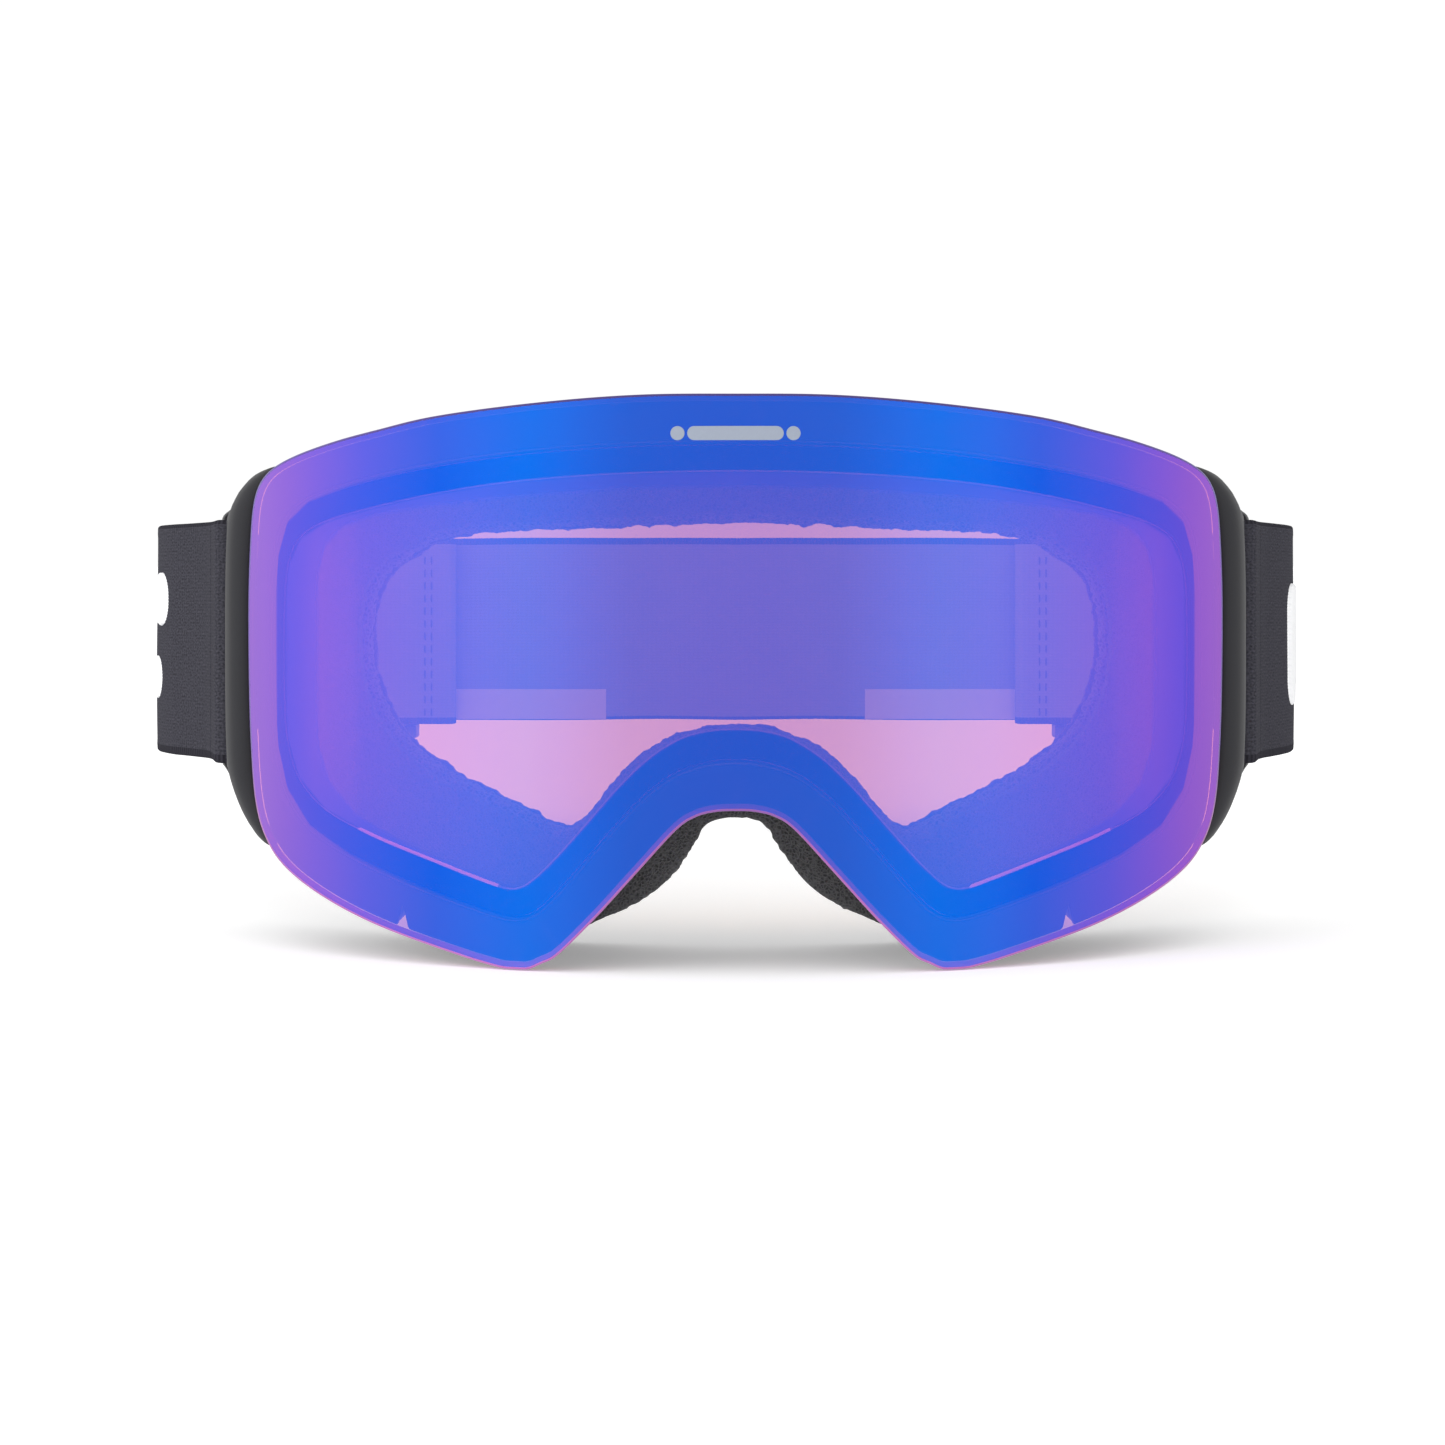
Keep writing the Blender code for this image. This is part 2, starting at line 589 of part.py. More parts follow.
def arm_shift(x, lip, full, rear_shift):
    """How far the section's point at x moves out, to suit the lip and fullest x of a height."""
    if x <= MID_FULL:
        return lip + (x - MID_LIP) * (full - lip) / (MID_FULL - MID_LIP) - x
    share = min(1.0, (x - MID_FULL) / (BAR_START - MID_FULL))
    return (full - MID_FULL) * (1 - share) + rear_shift * share


def arm_plate():
    """The arm's plate, lofted over its heights between the outer and the inner skin."""
    outer_skin = through(ARM_SKIN, 2)
    inner_skin = through(ARM_INNER, 2)
    shape = bmesh.new()
    rows = []
    for height, lip, full in ARM_ROWS:
        straight = STRAIGHT_REAR[0] < height < STRAIGHT_REAR[1]
        rear_shift = 0.0 if straight else (full - REAR_FULL) * REAR_PULL
        shifts = [arm_shift(p.x, lip, full, rear_shift) for p in outer_skin]
        section = list(zip(outer_skin, shifts)) + list(zip(inner_skin, shifts))[::-1]
        rows.append([shape.verts.new(Vector((p.x + shift, p.y + SHIFT_Y, height)) * MM)
                     for p, shift in section])
    count = len(rows[0])
    for below, above in zip(rows, rows[1:]):
        for i in range(count):
            j = (i + 1) % count
            shape.faces.new((below[i], below[j], above[j], above[i]))
    for row in (rows[0], rows[-1]):  # the caps, as strips between the two skins
        for i in range(len(outer_skin) - 1):
            shape.faces.new((row[i], row[i + 1], row[count - 2 - i], row[count - 1 - i]))
    bmesh.ops.recalc_face_normals(shape, faces=shape.faces)
    # Guards against a shell turned wholly inside out, which the Booleans would misread.
    if shape.calc_volume(signed=True) < 0:
        bmesh.ops.reverse_faces(shape, faces=shape.faces)
    return helper("side_arm", mesh_from(shape, "side_arm"))


def build_arms():
    arm = combine(arm_plate(), side_prism("arm_side", vectors(ARM_SIDE)), "INTERSECT")
    combine(arm, knuckle("arm_knuckle", "knuckle_web", PIN_X, ARM_WEB_L, *ARM_KNUCKLE), "UNION")
    cut(arm, rod("arm_bore", PIN_X, PIN_Y, 30, 75, BORE_R))
    front, back = SLOT_Y
    bottom, top = STRAP_Z - SLOT_HALF_H, STRAP_Z + SLOT_HALF_H
    slot = [(front, bottom), (back, bottom), (back, top), (front, top)]
    cut(arm, side_prism("slot", vectors(slot)))
    finish_pair(arm, "side_arm", ARM_PLASTIC)


def build_pins():
    pin = rod("pin", PIN_X, PIN_Y, FRAME_KNUCKLES[0][0] - PIN_OVER,
              FRAME_KNUCKLES[1][1] + PIN_OVER, PIN_R, segments=16)
    finish_pair(pin, "hinge_pin", PIN_STEEL)


# ---------------------------------------------------------------- strap
# Centre line of the outer web's right side seen from above, from the back forwards: x, y.
WEB_SIDE = [
    (99.6, 229.1), (103.0, 226.8), (105.6, 222.6), (107.7, 216.4), (109.6, 207.0), (111.2, 193),
    (112.4, 174), (113.0, 152), (113.1, 133), (112.6, 118), (111.0, 106.0), (107.8, 95.0),
    (103.6, 86.0), (100.3, 80.0)]

LOOP_T = 1.4
LOOP_GAP = 0.4  # between the loop and the bar
LOOP_LEG = 6.6  # legs behind the bar's middle
LOOP_FRONT = 2.3  # start of the bend, ahead of the bar's middle
LOOP_FLATTEN = 0.9  # depth of the bend over its half width
RETURN_GAP = 0.4  # between the outer web and the return web
RETURN_MIN_X, RETURN_MIN_Y = 98.6, 84.0  # the part of the side that the return web follows

# The strap bar is the arm's rear edge; its direction is that of the skin's last points.
along_arm = (Vector(ARM_SKIN[-1]) - Vector(ARM_SKIN[-3])).normalized()
across = Vector((along_arm.y, -along_arm.x))  # outwards
bar_mid = Vector(ARM_SKIN[-2]) - across * (ARM_T / 2) + along_arm * 1.7
loop_half = ARM_T / 2 + LOOP_GAP + LOOP_T / 2
leg_out_end = bar_mid + across * loop_half + along_arm * LOOP_LEG
leg_in_end = bar_mid - across * loop_half + along_arm * LOOP_LEG


def web_side_line():
    """The outer web's centre line, from the straight rear part to the right arm."""
    steps = 5
    web_end = leg_out_end + along_arm * 0.6
    # The first and last points only steer the curve; their spans are dropped.
    points = [(REAR_X - 6, REAR_Y), (REAR_X, REAR_Y), *WEB_SIDE, web_end, web_end + along_arm * 3]
    return thinned(through(points, steps)[steps:-steps], 0.05)


def build_strap_loops():
    """The folded strap end round each arm's bar, with both legs pointing back."""
    steps = 8
    front_centre = bar_mid - along_arm * LOOP_FRONT
    line = [leg_out_end]
    for k in range(steps + 1):
        turn = math.pi * k / steps
        line.append(front_centre + across * (loop_half * math.cos(turn))
                    - along_arm * (loop_half * LOOP_FLATTEN * math.sin(turn)))
    line.append(leg_in_end)
    finish_pair(ribbon("strap_loop", line, LOOP_T), "strap_loop", WEBBING)


def build_strap_webs():
    """The outer web from arm to arm, and a return web just inside each of its sides."""
    side_line = web_side_line()
    left_line = [Vector((-p.x, p.y)) for p in reversed(side_line)]
    finish(ribbon("strap_web", left_line + side_line, STRAP_T), "strap_web", WEBBING)

    inside = beside(side_line, -(STRAP_T + RETURN_GAP))
    line = [p for p in inside if p.x > RETURN_MIN_X and p.y > RETURN_MIN_Y]
    return_end = leg_in_end + along_arm * GAP
    line += [return_end + along_arm * 3.0, return_end]
    finish_pair(ribbon("strap_return", line, STRAP_T), "strap_return", WEBBING)


# ---------------------------------------------------------------- adjusters
SLIDER_X0 = 78.6  # edge nearest the centre
SLIDER_W = 16.0  # along the strap
SLIDER_X1 = SLIDER_X0 + SLIDER_W
SLIDER_HALF_H = 26.9
WINDOW_HALF_H = 23.7
OUTER_BAR_W = 3.6  # bars left at both edges of the back face
INNER_WINDOW_W = 5.8  # openings at both edges of the front face, with a bar between

FOLD_T = 1.2
FOLD_OUT, FOLD_IN = -1.75, -5.25  # the fold's layers, along Y from the web's centre line
FOLD_BEND_X, FOLD_END_X = 69.9, 96.0
FOLD_DROP = 0.8  # below the rest of the strap


def rear_block(name, x0, x1, out0, out1, half_height):
    """A box on the straight rear web, spanning out0 to out1 along Y from its centre line."""
    return block(name, ((x0 + x1) / 2, REAR_Y + (out0 + out1) / 2, STRAP_Z),
                 (x1 - x0, out1 - out0, 2 * half_height))


def build_sliders():
    slider = rear_block("slider", SLIDER_X0, SLIDER_X1, SLIDER_IN, SLIDER_OUT, SLIDER_HALF_H)
    cut(slider, rear_block("window", SLIDER_X0 - 2, SLIDER_X1 + 2,
                           SLIDER_IN + 1.65, SLIDER_OUT - 1.75, WINDOW_HALF_H))
    cut(slider, rear_block("outer_window", SLIDER_X0 + OUTER_BAR_W, SLIDER_X1 - OUTER_BAR_W,
                           SLIDER_OUT - 3, SLIDER_OUT + 2, WINDOW_HALF_H))
    for x0, x1 in ((SLIDER_X0 - 2, SLIDER_X0 + INNER_WINDOW_W),
                   (SLIDER_X1 - INNER_WINDOW_W, SLIDER_X1 + 2)):
        cut(slider, rear_block("inner_window", x0, x1, SLIDER_IN - 2, SLIDER_IN + 2.5,
                               WINDOW_HALF_H))
    finish_pair(slider, "strap_slider", ARM_PLASTIC)


def build_strap_folds():
    """The webbing folded round the adjuster's inner bar, with its bend towards the centre."""
    steps = 6
    radius = (FOLD_OUT - FOLD_IN) / 2
    middle_y = REAR_Y + (FOLD_OUT + FOLD_IN) / 2
    line = [Vector((FOLD_END_X, REAR_Y + FOLD_OUT))]
    for k in range(steps + 1):
        turn = math.pi * k / steps
        line.append(Vector((FOLD_BEND_X - radius * math.sin(turn),
                            middle_y + radius * math.cos(turn))))
    line.append(Vector((FOLD_END_X, REAR_Y + FOLD_IN)))
    fold = ribbon("strap_fold", line, FOLD_T, STRAP_BOTTOM - FOLD_DROP, STRAP_TOP - FOLD_DROP)
    finish_pair(fold, "strap_fold", WEBBING)


# ---------------------------------------------------------------- build
build_outer_lens()
build_gasket()
build_inner_lens()
build_carrier()
build_frame()
build_vent_foam()
build_face_foam()
build_arms()
build_pins()
build_strap_loops()
build_strap_webs()
build_sliders()
build_strap_folds()
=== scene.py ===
"""Ski goggles: a mirrored lens unit, a frame with face foam, two hinged side arms and a strap.

The lens faces -Y and the strap closes at +Y; X runs across and Z up. Left and right are as
seen from the front, so right is +X. Shapes are in mm, with Y counted from the lens's front;
the helpers that make objects turn them into metres.
"""
import math

import bmesh
import bpy
import numpy as np
from mathutils import Matrix, Vector, geometry, noise


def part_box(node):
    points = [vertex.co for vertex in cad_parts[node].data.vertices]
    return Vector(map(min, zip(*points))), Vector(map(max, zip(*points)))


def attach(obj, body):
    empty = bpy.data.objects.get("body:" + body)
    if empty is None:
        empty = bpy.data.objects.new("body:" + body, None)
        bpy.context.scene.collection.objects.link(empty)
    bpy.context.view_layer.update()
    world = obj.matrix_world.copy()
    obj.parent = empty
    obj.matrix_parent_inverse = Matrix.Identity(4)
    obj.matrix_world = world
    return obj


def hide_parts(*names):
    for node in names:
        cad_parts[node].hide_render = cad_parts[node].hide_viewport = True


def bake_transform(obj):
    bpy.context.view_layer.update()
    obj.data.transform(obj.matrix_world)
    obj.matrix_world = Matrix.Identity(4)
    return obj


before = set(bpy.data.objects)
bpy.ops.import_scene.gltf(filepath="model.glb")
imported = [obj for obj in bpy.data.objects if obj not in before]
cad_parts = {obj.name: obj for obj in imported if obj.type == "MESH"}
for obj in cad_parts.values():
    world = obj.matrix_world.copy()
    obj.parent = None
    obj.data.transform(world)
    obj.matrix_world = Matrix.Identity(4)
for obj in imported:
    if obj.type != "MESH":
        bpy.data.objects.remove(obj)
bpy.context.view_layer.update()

MM = 0.001
SIDES = ((1, "right"), (-1, "left"))
scene = bpy.context.scene
SHIFT_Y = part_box("outer_lens")[0].y / MM
STRAP_LO, STRAP_HI = (corner.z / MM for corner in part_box("strap_web"))
STRAP_Z, STRAP_H = (STRAP_LO + STRAP_HI) / 2, STRAP_HI - STRAP_LO

# Radii of the lens unit's layers, all about one upright axis
GAP = 0.3
LENS_R = 108.0
LENS_BACK_R = LENS_R - 2.0
CARRIER_FRONT_R = LENS_BACK_R - GAP
CARRIER_BACK_R = CARRIER_FRONT_R - 2.5
INNER_LENS_R = CARRIER_FRONT_R - 3.3
FLANGE_FRONT_R = CARRIER_BACK_R - GAP
FLANGE_BACK_R = FLANGE_FRONT_R - 2.5
# The curve on the wearer's side
FACE_R, FACE_Y = 120.0, 23.0

# Right halves of the outlines seen from the front: (x, z) from the top centre to the bottom centre
LENS_EDGE = [
    (0, 93.1), (16, 93.0), (32.5, 92.0), (49.5, 90.3), (60, 88.4), (68, 86.8), (75.6, 84.8),
    (80.5, 82.8), (83.3, 80.3), (84.8, 76.6), (85.5, 70.5), (85.95, 60), (85.85, 46), (85.4, 34.5),
    (84.4, 25), (82.3, 18.9), (78.3, 14.1), (70.8, 9.75), (60.2, 5.7), (45.7, 1.8), (40.5, 0.55),
    (37.4, 0), (34, 0), (31.4, 1.1), (28.6, 2.7), (22.5, 8.8), (16, 16), (9.6, 23), (6.4, 25.2),
    (3.2, 26.05), (0, 26.2)]
INNER_LENS_EDGE = [
    (0, 85.3), (20, 85), (38.8, 83.7), (55, 81.6), (66, 79.4), (74.2, 77), (78.6, 73.6), (80.5, 68),
    (81.2, 60), (81.2, 45), (80.7, 35), (78.6, 27.2), (73.9, 21.2), (66, 16.9), (55, 12.9),
    (45, 9.9), (38.6, 8.2), (35.2, 8), (32, 9.4), (27.2, 14.3), (21, 21.5), (15, 28), (10, 31.7),
    (5, 33.5), (0, 34)]
GASKET_OPENING = [
    (0, 81), (20, 80.6), (38, 79.4), (52, 77.5), (62, 75.6), (70.4, 73.6), (75.8, 70.8), (78.3, 66),
    (79.1, 58), (79.1, 45), (78.5, 36), (76.1, 29.2), (70.8, 24.1), (62, 20.3), (50, 16.4),
    (42, 13.8), (37.6, 12.6), (34.5, 13.1), (30.5, 16.5), (24.4, 23.2), (19, 29.4), (14, 34.2),
    (9, 37.4), (4.5, 38.7), (0, 39)]
FRAME_OPENING = [
    (0, 79.2), (20, 78.8), (38, 77.7), (53, 76.3), (63, 75), (69.3, 73), (72.9, 69.6), (74.4, 64),
    (74.7, 56), (74.6, 43), (74.1, 34), (71.6, 27.4), (66.3, 22.2), (57, 17.8), (46, 13.7),
    (40, 11.7), (36.4, 11.4), (32.4, 14.4), (26.2, 21), (20.6, 27.6), (15.2, 33), (9.8, 36.2),
    (5, 37.2), (0, 37.4)]
FOAM_EDGE = [
    (0, 90.6), (16, 90.5), (32.5, 89.5), (49.5, 87.8), (60, 86), (68, 84.3), (74.8, 82.5),
    (78.9, 80.6), (81.2, 78.4), (82.4, 75.4), (83, 70.2), (83.4, 60), (83.3, 46), (82.9, 34.7),
    (81.9, 25.6), (80, 20.3), (76.6, 16.2), (69.6, 12.2), (59.4, 8.3), (45.2, 4.4), (39.8, 3.1),
    (35.8, 2.5), (31.6, 2.7), (27, 3.8), (22.4, 5.9), (17.2, 8.3), (13, 11.2), (9.9, 14.6),
    (7.6, 18.2), (5.4, 21.6), (2.8, 22.9), (0, 23.1)]
FOAM_OPENING = [
    (0, 73), (21, 72.4), (36, 71.8), (47, 71.3), (53.5, 69.6), (57.5, 67.2), (61.5, 64.8),
    (63.8, 61), (64.8, 55), (64.6, 49), (63.2, 43.5), (59.8, 37.6), (54.5, 32.7), (46, 27.9),
    (37.5, 24.2), (31.4, 21), (28.6, 20.8), (25.6, 23.2), (20.4, 29.6), (14.9, 34.5), (8.8, 37.2),
    (4, 38.3), (0, 38.6)]


# ------------------------------------------------------------------ lines
def unit(vectors):
    return vectors / np.linalg.norm(vectors, axis=1)[:, None]


def distances(line):
    """The distance along a line to each of its points."""
    return np.concatenate([[0], np.cumsum(np.linalg.norm(np.diff(line, axis=0), axis=1))])


def nearest(points, line):
    """The distance from each point to the closest point of a line."""
    return np.array([np.min(np.hypot(*(line - p).T)) for p in points])


def catmull(points, steps=10):
    """A smooth curve through the points."""
    points = np.array(points, float)
    ends = np.vstack([points[0], points, points[-1]])
    curve = []
    for i in range(1, len(ends) - 2):
        before, start, end, after = ends[i - 1:i + 3]
        for k in range(steps):
            t = k / steps
            curve.append(0.5 * (2 * start + (end - before) * t
                                + (2 * before - 5 * start + 4 * end - after) * t * t
                                + (3 * start - before - 3 * end + after) * t ** 3))
    curve.append(points[-1])
    return np.array(curve)


def resample(line, step, closed=False):
    """Points at equal steps along a line."""
    points = np.vstack([line, line[:1]]) if closed else np.array(line)
    gaps = np.linalg.norm(np.diff(points, axis=0), axis=1)
    points = points[np.concatenate([[True], gaps > 1e-9])]
    along = distances(points)
    count = max(3, int(round(along[-1] / step)))
    at = np.linspace(0, along[-1], count + 1)
    out = np.column_stack([np.interp(at, along, column) for column in points.T])
    return out[:-1] if closed else out


def outline(half, step=0.8):
    """A closed outline from its right half, clockwise from the top centre seen from the front."""
    ring = [(-half[1][0], half[1][1])] + half + [(-half[-2][0], half[-2][1])]
    right = catmull(ring, 12)[12:-12]
    right[:, 1] = np.maximum(right[:, 1], 0.0)
    right = resample(right, step)
    left = right[1:-1][::-1] * np.array([-1, 1])
    return np.vstack([right, left])


def normals_in(line):
    """Unit normals of a closed clockwise outline, pointing inwards."""
    tangent = unit(np.roll(line, -1, 0) - np.roll(line, 1, 0))
    return np.column_stack([tangent[:, 1], -tangent[:, 0]])


def inset(line, distance, step=0.8):
    """The outline moved inwards, cleaned of crossings and resampled."""
    moved = line + normals_in(line) * distance
    moved = moved[nearest(moved, line) > abs(distance) * 0.985 - 0.02]
    return resample(moved, step, closed=True)


def inside(points, loop):
    """Even-odd test of points against a closed polygon."""
    x, y = points[:, 0][:, None], points[:, 1][:, None]
    x0, y0 = loop[:, 0][None], loop[:, 1][None]
    x1, y1 = np.roll(loop[:, 0], -1)[None], np.roll(loop[:, 1], -1)[None]
    crosses = (y0 > y) != (y1 > y)
    with np.errstate(divide="ignore", invalid="ignore"):
        at = x0 + (y - y0) * (x1 - x0) / (y1 - y0)
    return (np.where(crosses, x < at, False).sum(1) % 2) == 1


def clockwise(points):
    points = np.array(points, float)
    following = np.roll(points, -1, 0)
    area = (points[:, 0] * following[:, 1] - following[:, 0] * points[:, 1]).sum()
    return points[::-1] if area > 0 else points


def rounded_box_line(x0, x1, y0, y1, radius, steps=6):
    """A rectangle's outline with rounded corners."""
    corners = ((x1 - radius, y1 - radius, 0), (x0 + radius, y1 - radius, 90),
               (x0 + radius, y0 + radius, 180), (x1 - radius, y0 + radius, 270))
    out = []
    for x, y, start in corners:
        for k in range(steps + 1):
            angle = math.radians(start + 90 * k / steps)
            out.append((x + radius * math.cos(angle), y + radius * math.sin(angle)))
    return clockwise(out)


# Surfaces: each gives a depth for a place u across
def lens_y(radius):
    return lambda x: LENS_R - np.sqrt(np.maximum(radius ** 2 - np.asarray(x) ** 2, 1.0))


def face_y(depth):
    return lambda x: (FACE_Y + depth + FACE_R
                      - np.sqrt(np.maximum(FACE_R ** 2 - np.asarray(x) ** 2, 1.0)))


def flat_at(value):
    return lambda u: np.full(np.shape(u), value)


# Ways to place an outline's (u, v) and a depth in x, y, z
def standing(u, v, depth):
    return np.column_stack([u, depth, v])


def level(u, v, depth):
    return np.column_stack([u, v, depth])


# ------------------------------------------------------------------ meshes
def new_object(name, data):
    obj = bpy.data.objects.new(name, data)
    scene.collection.objects.link(obj)
    return obj


def shade(mesh, sharp):
    """Smooth shading with creases above the angle sharp, in degrees."""
    mesh.shade_smooth()
    mesh.set_sharp_from_angle(angle=math.radians(sharp))


def make(name, verts, faces, mats, index=None, normals=None, uv=None, smooth=True, sharp=None):
    """A mesh object from points in mm; index holds each face's material."""
    points = np.array(verts, float)
    points[:, 1] += SHIFT_Y
    mesh = bpy.data.meshes.new(name)
    mesh.from_pydata((points * MM).tolist(), [], [tuple(int(i) for i in f) for f in faces])
    for mat in mats:
        mesh.materials.append(mat)
    if index is not None:
        mesh.polygons.foreach_set("material_index", np.array(index, np.int32))
    if uv is not None:
        layer = mesh.uv_layers.new(name="UVMap")
        loops = np.zeros(len(mesh.loops), np.int32)
        mesh.loops.foreach_get("vertex_index", loops)
        layer.data.foreach_set("uv", np.array(uv, np.float32)[loops].ravel())
    mesh.update()
    if smooth:
        mesh.shade_smooth()
    if sharp is not None:
        mesh.set_sharp_from_angle(angle=math.radians(sharp))
    if normals is not None:
        lengths = np.maximum(np.linalg.norm(normals, axis=1), 1e-9)[:, None]
        mesh.normals_split_custom_set_from_vertices((normals / lengths).tolist())
    return new_object(name, mesh)


def fix_normals(obj):
    """Turns all faces outwards."""
    work = bmesh.new()
    work.from_mesh(obj.data)
    bmesh.ops.recalc_face_normals(work, faces=work.faces)
    if work.calc_volume(signed=True) < 0:
        bmesh.ops.reverse_faces(work, faces=work.faces)
    work.to_mesh(obj.data)
    work.free()
    return obj


def triangulate(outer, holes, grid):
    """Triangles between outer and the holes, with a regular grid of inner points.

    Also gives the new number of each outline point."""
    def within(points):
        keep = inside(points, outer)
        for hole in holes:
            keep &= ~inside(points, hole)
        return keep

    loops = [outer] + holes
    low, high = outer.min(0), outer.max(0)
    grid_x, grid_y = np.meshgrid(np.arange(math.floor(low[0]), high[0] + grid, grid),
                                 np.arange(low[1], high[1] + grid, grid))
    points = np.column_stack([grid_x.ravel(), grid_y.ravel()])
    points = points[within(points)]
    rim = np.vstack(loops)
    points = points[nearest(points, rim) > grid * 0.55]
    coords = [Vector(p) for p in np.vstack([rim, points])]
    edges, start = [], 0
    for loop in loops:
        count = len(loop)
        edges += [(start + i, start + (i + 1) % count) for i in range(count)]
        start += count
    verts, _, faces, origins, _, _ = geometry.delaunay_2d_cdt(coords, edges, [], 0, 1e-7, True)
    verts = np.array([tuple(v) for v in verts])
    tris = np.array(faces)
    tris = tris[within(verts[tris].mean(1))]
    a, b, c = (verts[tris[:, k]] for k in range(3))
    area = (b[:, 0] - a[:, 0]) * (c[:, 1] - a[:, 1]) - (c[:, 0] - a[:, 0]) * (b[:, 1] - a[:, 1])
    tris[area < 0] = tris[area < 0][:, ::-1]
    where = {k: i for i, origin in enumerate(origins) for k in origin}
    return verts, tris, where


def plate(name, outer, holes, front, back, mats, front_round=0.3, back_round=0.3, grid=3.0,
          steps=3, place=standing, rim_index=0, back_index=0, wall_rows=0, bulge=0.0):
    """A closed plate between the surfaces front(u) and back(u), with rounded rims.

    Its outlines are in the (u, v) plane. Vertex normals are worked out from the surfaces, so
    reflections stay smooth."""
    reach = 0.01  # half the span over which slopes are measured

    def surface(points, depth):
        """Places on a surface and the unit normals there."""
        u, v = points[:, 0], points[:, 1]
        across = (place(u + reach, v, depth(u + reach))
                  - place(u - reach, v, depth(u - reach)))
        up = place(u, v + reach, depth(u)) - place(u, v - reach, depth(u))
        return place(u, v, depth(u)), unit(np.cross(across, up))

    loops = [outer] + holes
    outwards = [-normals_in(outer)] + [normals_in(hole) for hole in holes]
    inner = [loop - out * front_round for loop, out in zip(loops, outwards)]
    flat, tris, where = triangulate(inner[0], inner[1:], grid)
    offsets = np.cumsum([0] + [len(loop) for loop in loops])
    # the back uses the same triangles, its rim moved to its own inset
    flat_back = flat.copy()
    for k, (loop, out) in enumerate(zip(loops, outwards)):
        for i in range(len(loop)):
            flat_back[where[offsets[k] + i]] = loop[i] - out[i] * back_round
    front_points, front_normals = surface(flat, front)
    behind = place(flat[:, 0], flat[:, 1], back(flat[:, 0]))
    flip = np.sign((front_normals * (front_points - behind)).sum(1).mean())
    back_points, back_normals = surface(flat_back, back)
    verts, normals = [front_points, back_points], [front_normals * flip, back_normals * -flip]
    count = len(flat)
    faces = [tuple(t) for t in tris] + [tuple(t[::-1] + count) for t in tris]
    index = [0] * len(tris) + [back_index] * len(tris)

    # rim rows: (inset, depth or share of the wall, part, angle of the normal)
    quarter = [j / steps * math.pi / 2 for j in range(1, steps + 1)]
    shares = [j / (wall_rows + 1) for j in range(1, wall_rows + 1)]
    rim = [(front_round * (1 - math.sin(a)), front_round * (1 - math.cos(a)), "front", a)
           for a in quarter]
    rim += [(-bulge * math.sin(math.pi * t), t, "wall", math.pi / 2) for t in shares]
    rim += [(back_round * (1 - math.sin(a)), back_round * (1 - math.cos(a)), "back", a)
            for a in reversed(quarter)]
    total = 2 * count
    for k, (loop, out) in enumerate(zip(loops, outwards)):
        size = len(loop)
        first = [where[offsets[k] + i] for i in range(size)]
        rows = [first]
        for inwards, depth, part, angle in rim:
            points = loop - out * inwards
            u, v = points[:, 0], points[:, 1]
            sign = np.sign(back(u) - front(u))
            if part == "wall":
                y = ((front(u) + front_round * sign) * (1 - depth)
                     + (back(u) - back_round * sign) * depth)
            elif part == "front":
                y = front(u) + depth * sign
            else:
                y = back(u) - depth * sign
            du, dv = out[:, 0] * reach, out[:, 1] * reach
            sideways = unit(place(u + du, v + dv, y) - place(u - du, v - dv, y))
            if part == "front":
                base = surface(points, front)[1] * flip
            else:
                base = surface(points, back)[1] * -flip
            verts.append(place(u, v, y))
            normals.append(sideways * math.sin(angle) + base * math.cos(angle))
            rows.append([total + i for i in range(size)])
            total += size
        rows.append([i + count for i in first])
        for lower, upper in zip(rows, rows[1:]):
            for i in range(size):
                j = (i + 1) % size
                faces.append((lower[i], upper[i], upper[j], lower[j]))
                index.append(rim_index)
    verts, normals = np.vstack(verts), np.vstack(normals)
    # every face is turned to agree with the normals it carries
    turned = []
    for face in faces:
        a, b, c = (verts[i] for i in face[:3])
        normal = np.cross(b - a, c - a)
        if len(face) == 4 and np.linalg.norm(normal) < 1e-9:
            normal = np.cross(c - a, verts[face[3]] - a)
        agrees = np.dot(normal, sum(normals[i] for i in face)) >= 0
        turned.append(face if agrees else tuple(reversed(face)))
    return make(name, verts, turned, mats, index, normals)


def lattice(rows, closed_rows=True, closed_cols=True, caps=False):
    """Points and quads from rows of points; caps closes the first and last columns."""
    high, wide = len(rows), len(rows[0])
    faces = []
    for r in range(high if closed_rows else high - 1):
        for c in range(wide if closed_cols else wide - 1):
            r2, c2 = (r + 1) % high, (c + 1) % wide
            faces.append((r * wide + c, r * wide + c2, r2 * wide + c2, r2 * wide + c))
    if caps:
        faces.append(tuple(r * wide for r in range(high)))
        faces.append(tuple(r * wide + wide - 1 for r in reversed(range(high))))
    return np.vstack(rows), faces


def join(name, *objs):
    """One mesh object out of several, keeping their materials."""
    work = bmesh.new()
    mats = []
    for obj in objs:
        slots = []
        for mat in obj.data.materials:
            if mat not in mats:
                mats.append(mat)
            slots.append(mats.index(mat))
        start = len(work.faces)
        work.from_mesh(obj.data)
        work.faces.ensure_lookup_table()
        for face in work.faces[start:]:
            face.material_index = slots[face.material_index]
    mesh = bpy.data.meshes.new(name)
    work.to_mesh(mesh)
    work.free()
    for mat in mats:
        mesh.materials.append(mat)
    for obj in objs:
        bpy.data.objects.remove(obj, do_unlink=True)
    return new_object(name, mesh)


def extruded(name, line, z0, z1):
    """A plan outline extruded upwards."""
    n = len(line)
    verts = [(x, y, z) for z in (z0, z1) for x, y in line]
    faces = [tuple(range(n)), tuple(range(2 * n - 1, n - 1, -1))]
    faces += [(i, (i + 1) % n, n + (i + 1) % n, n + i) for i in range(n)]
    return fix_normals(make(name, verts, faces, [], smooth=False))


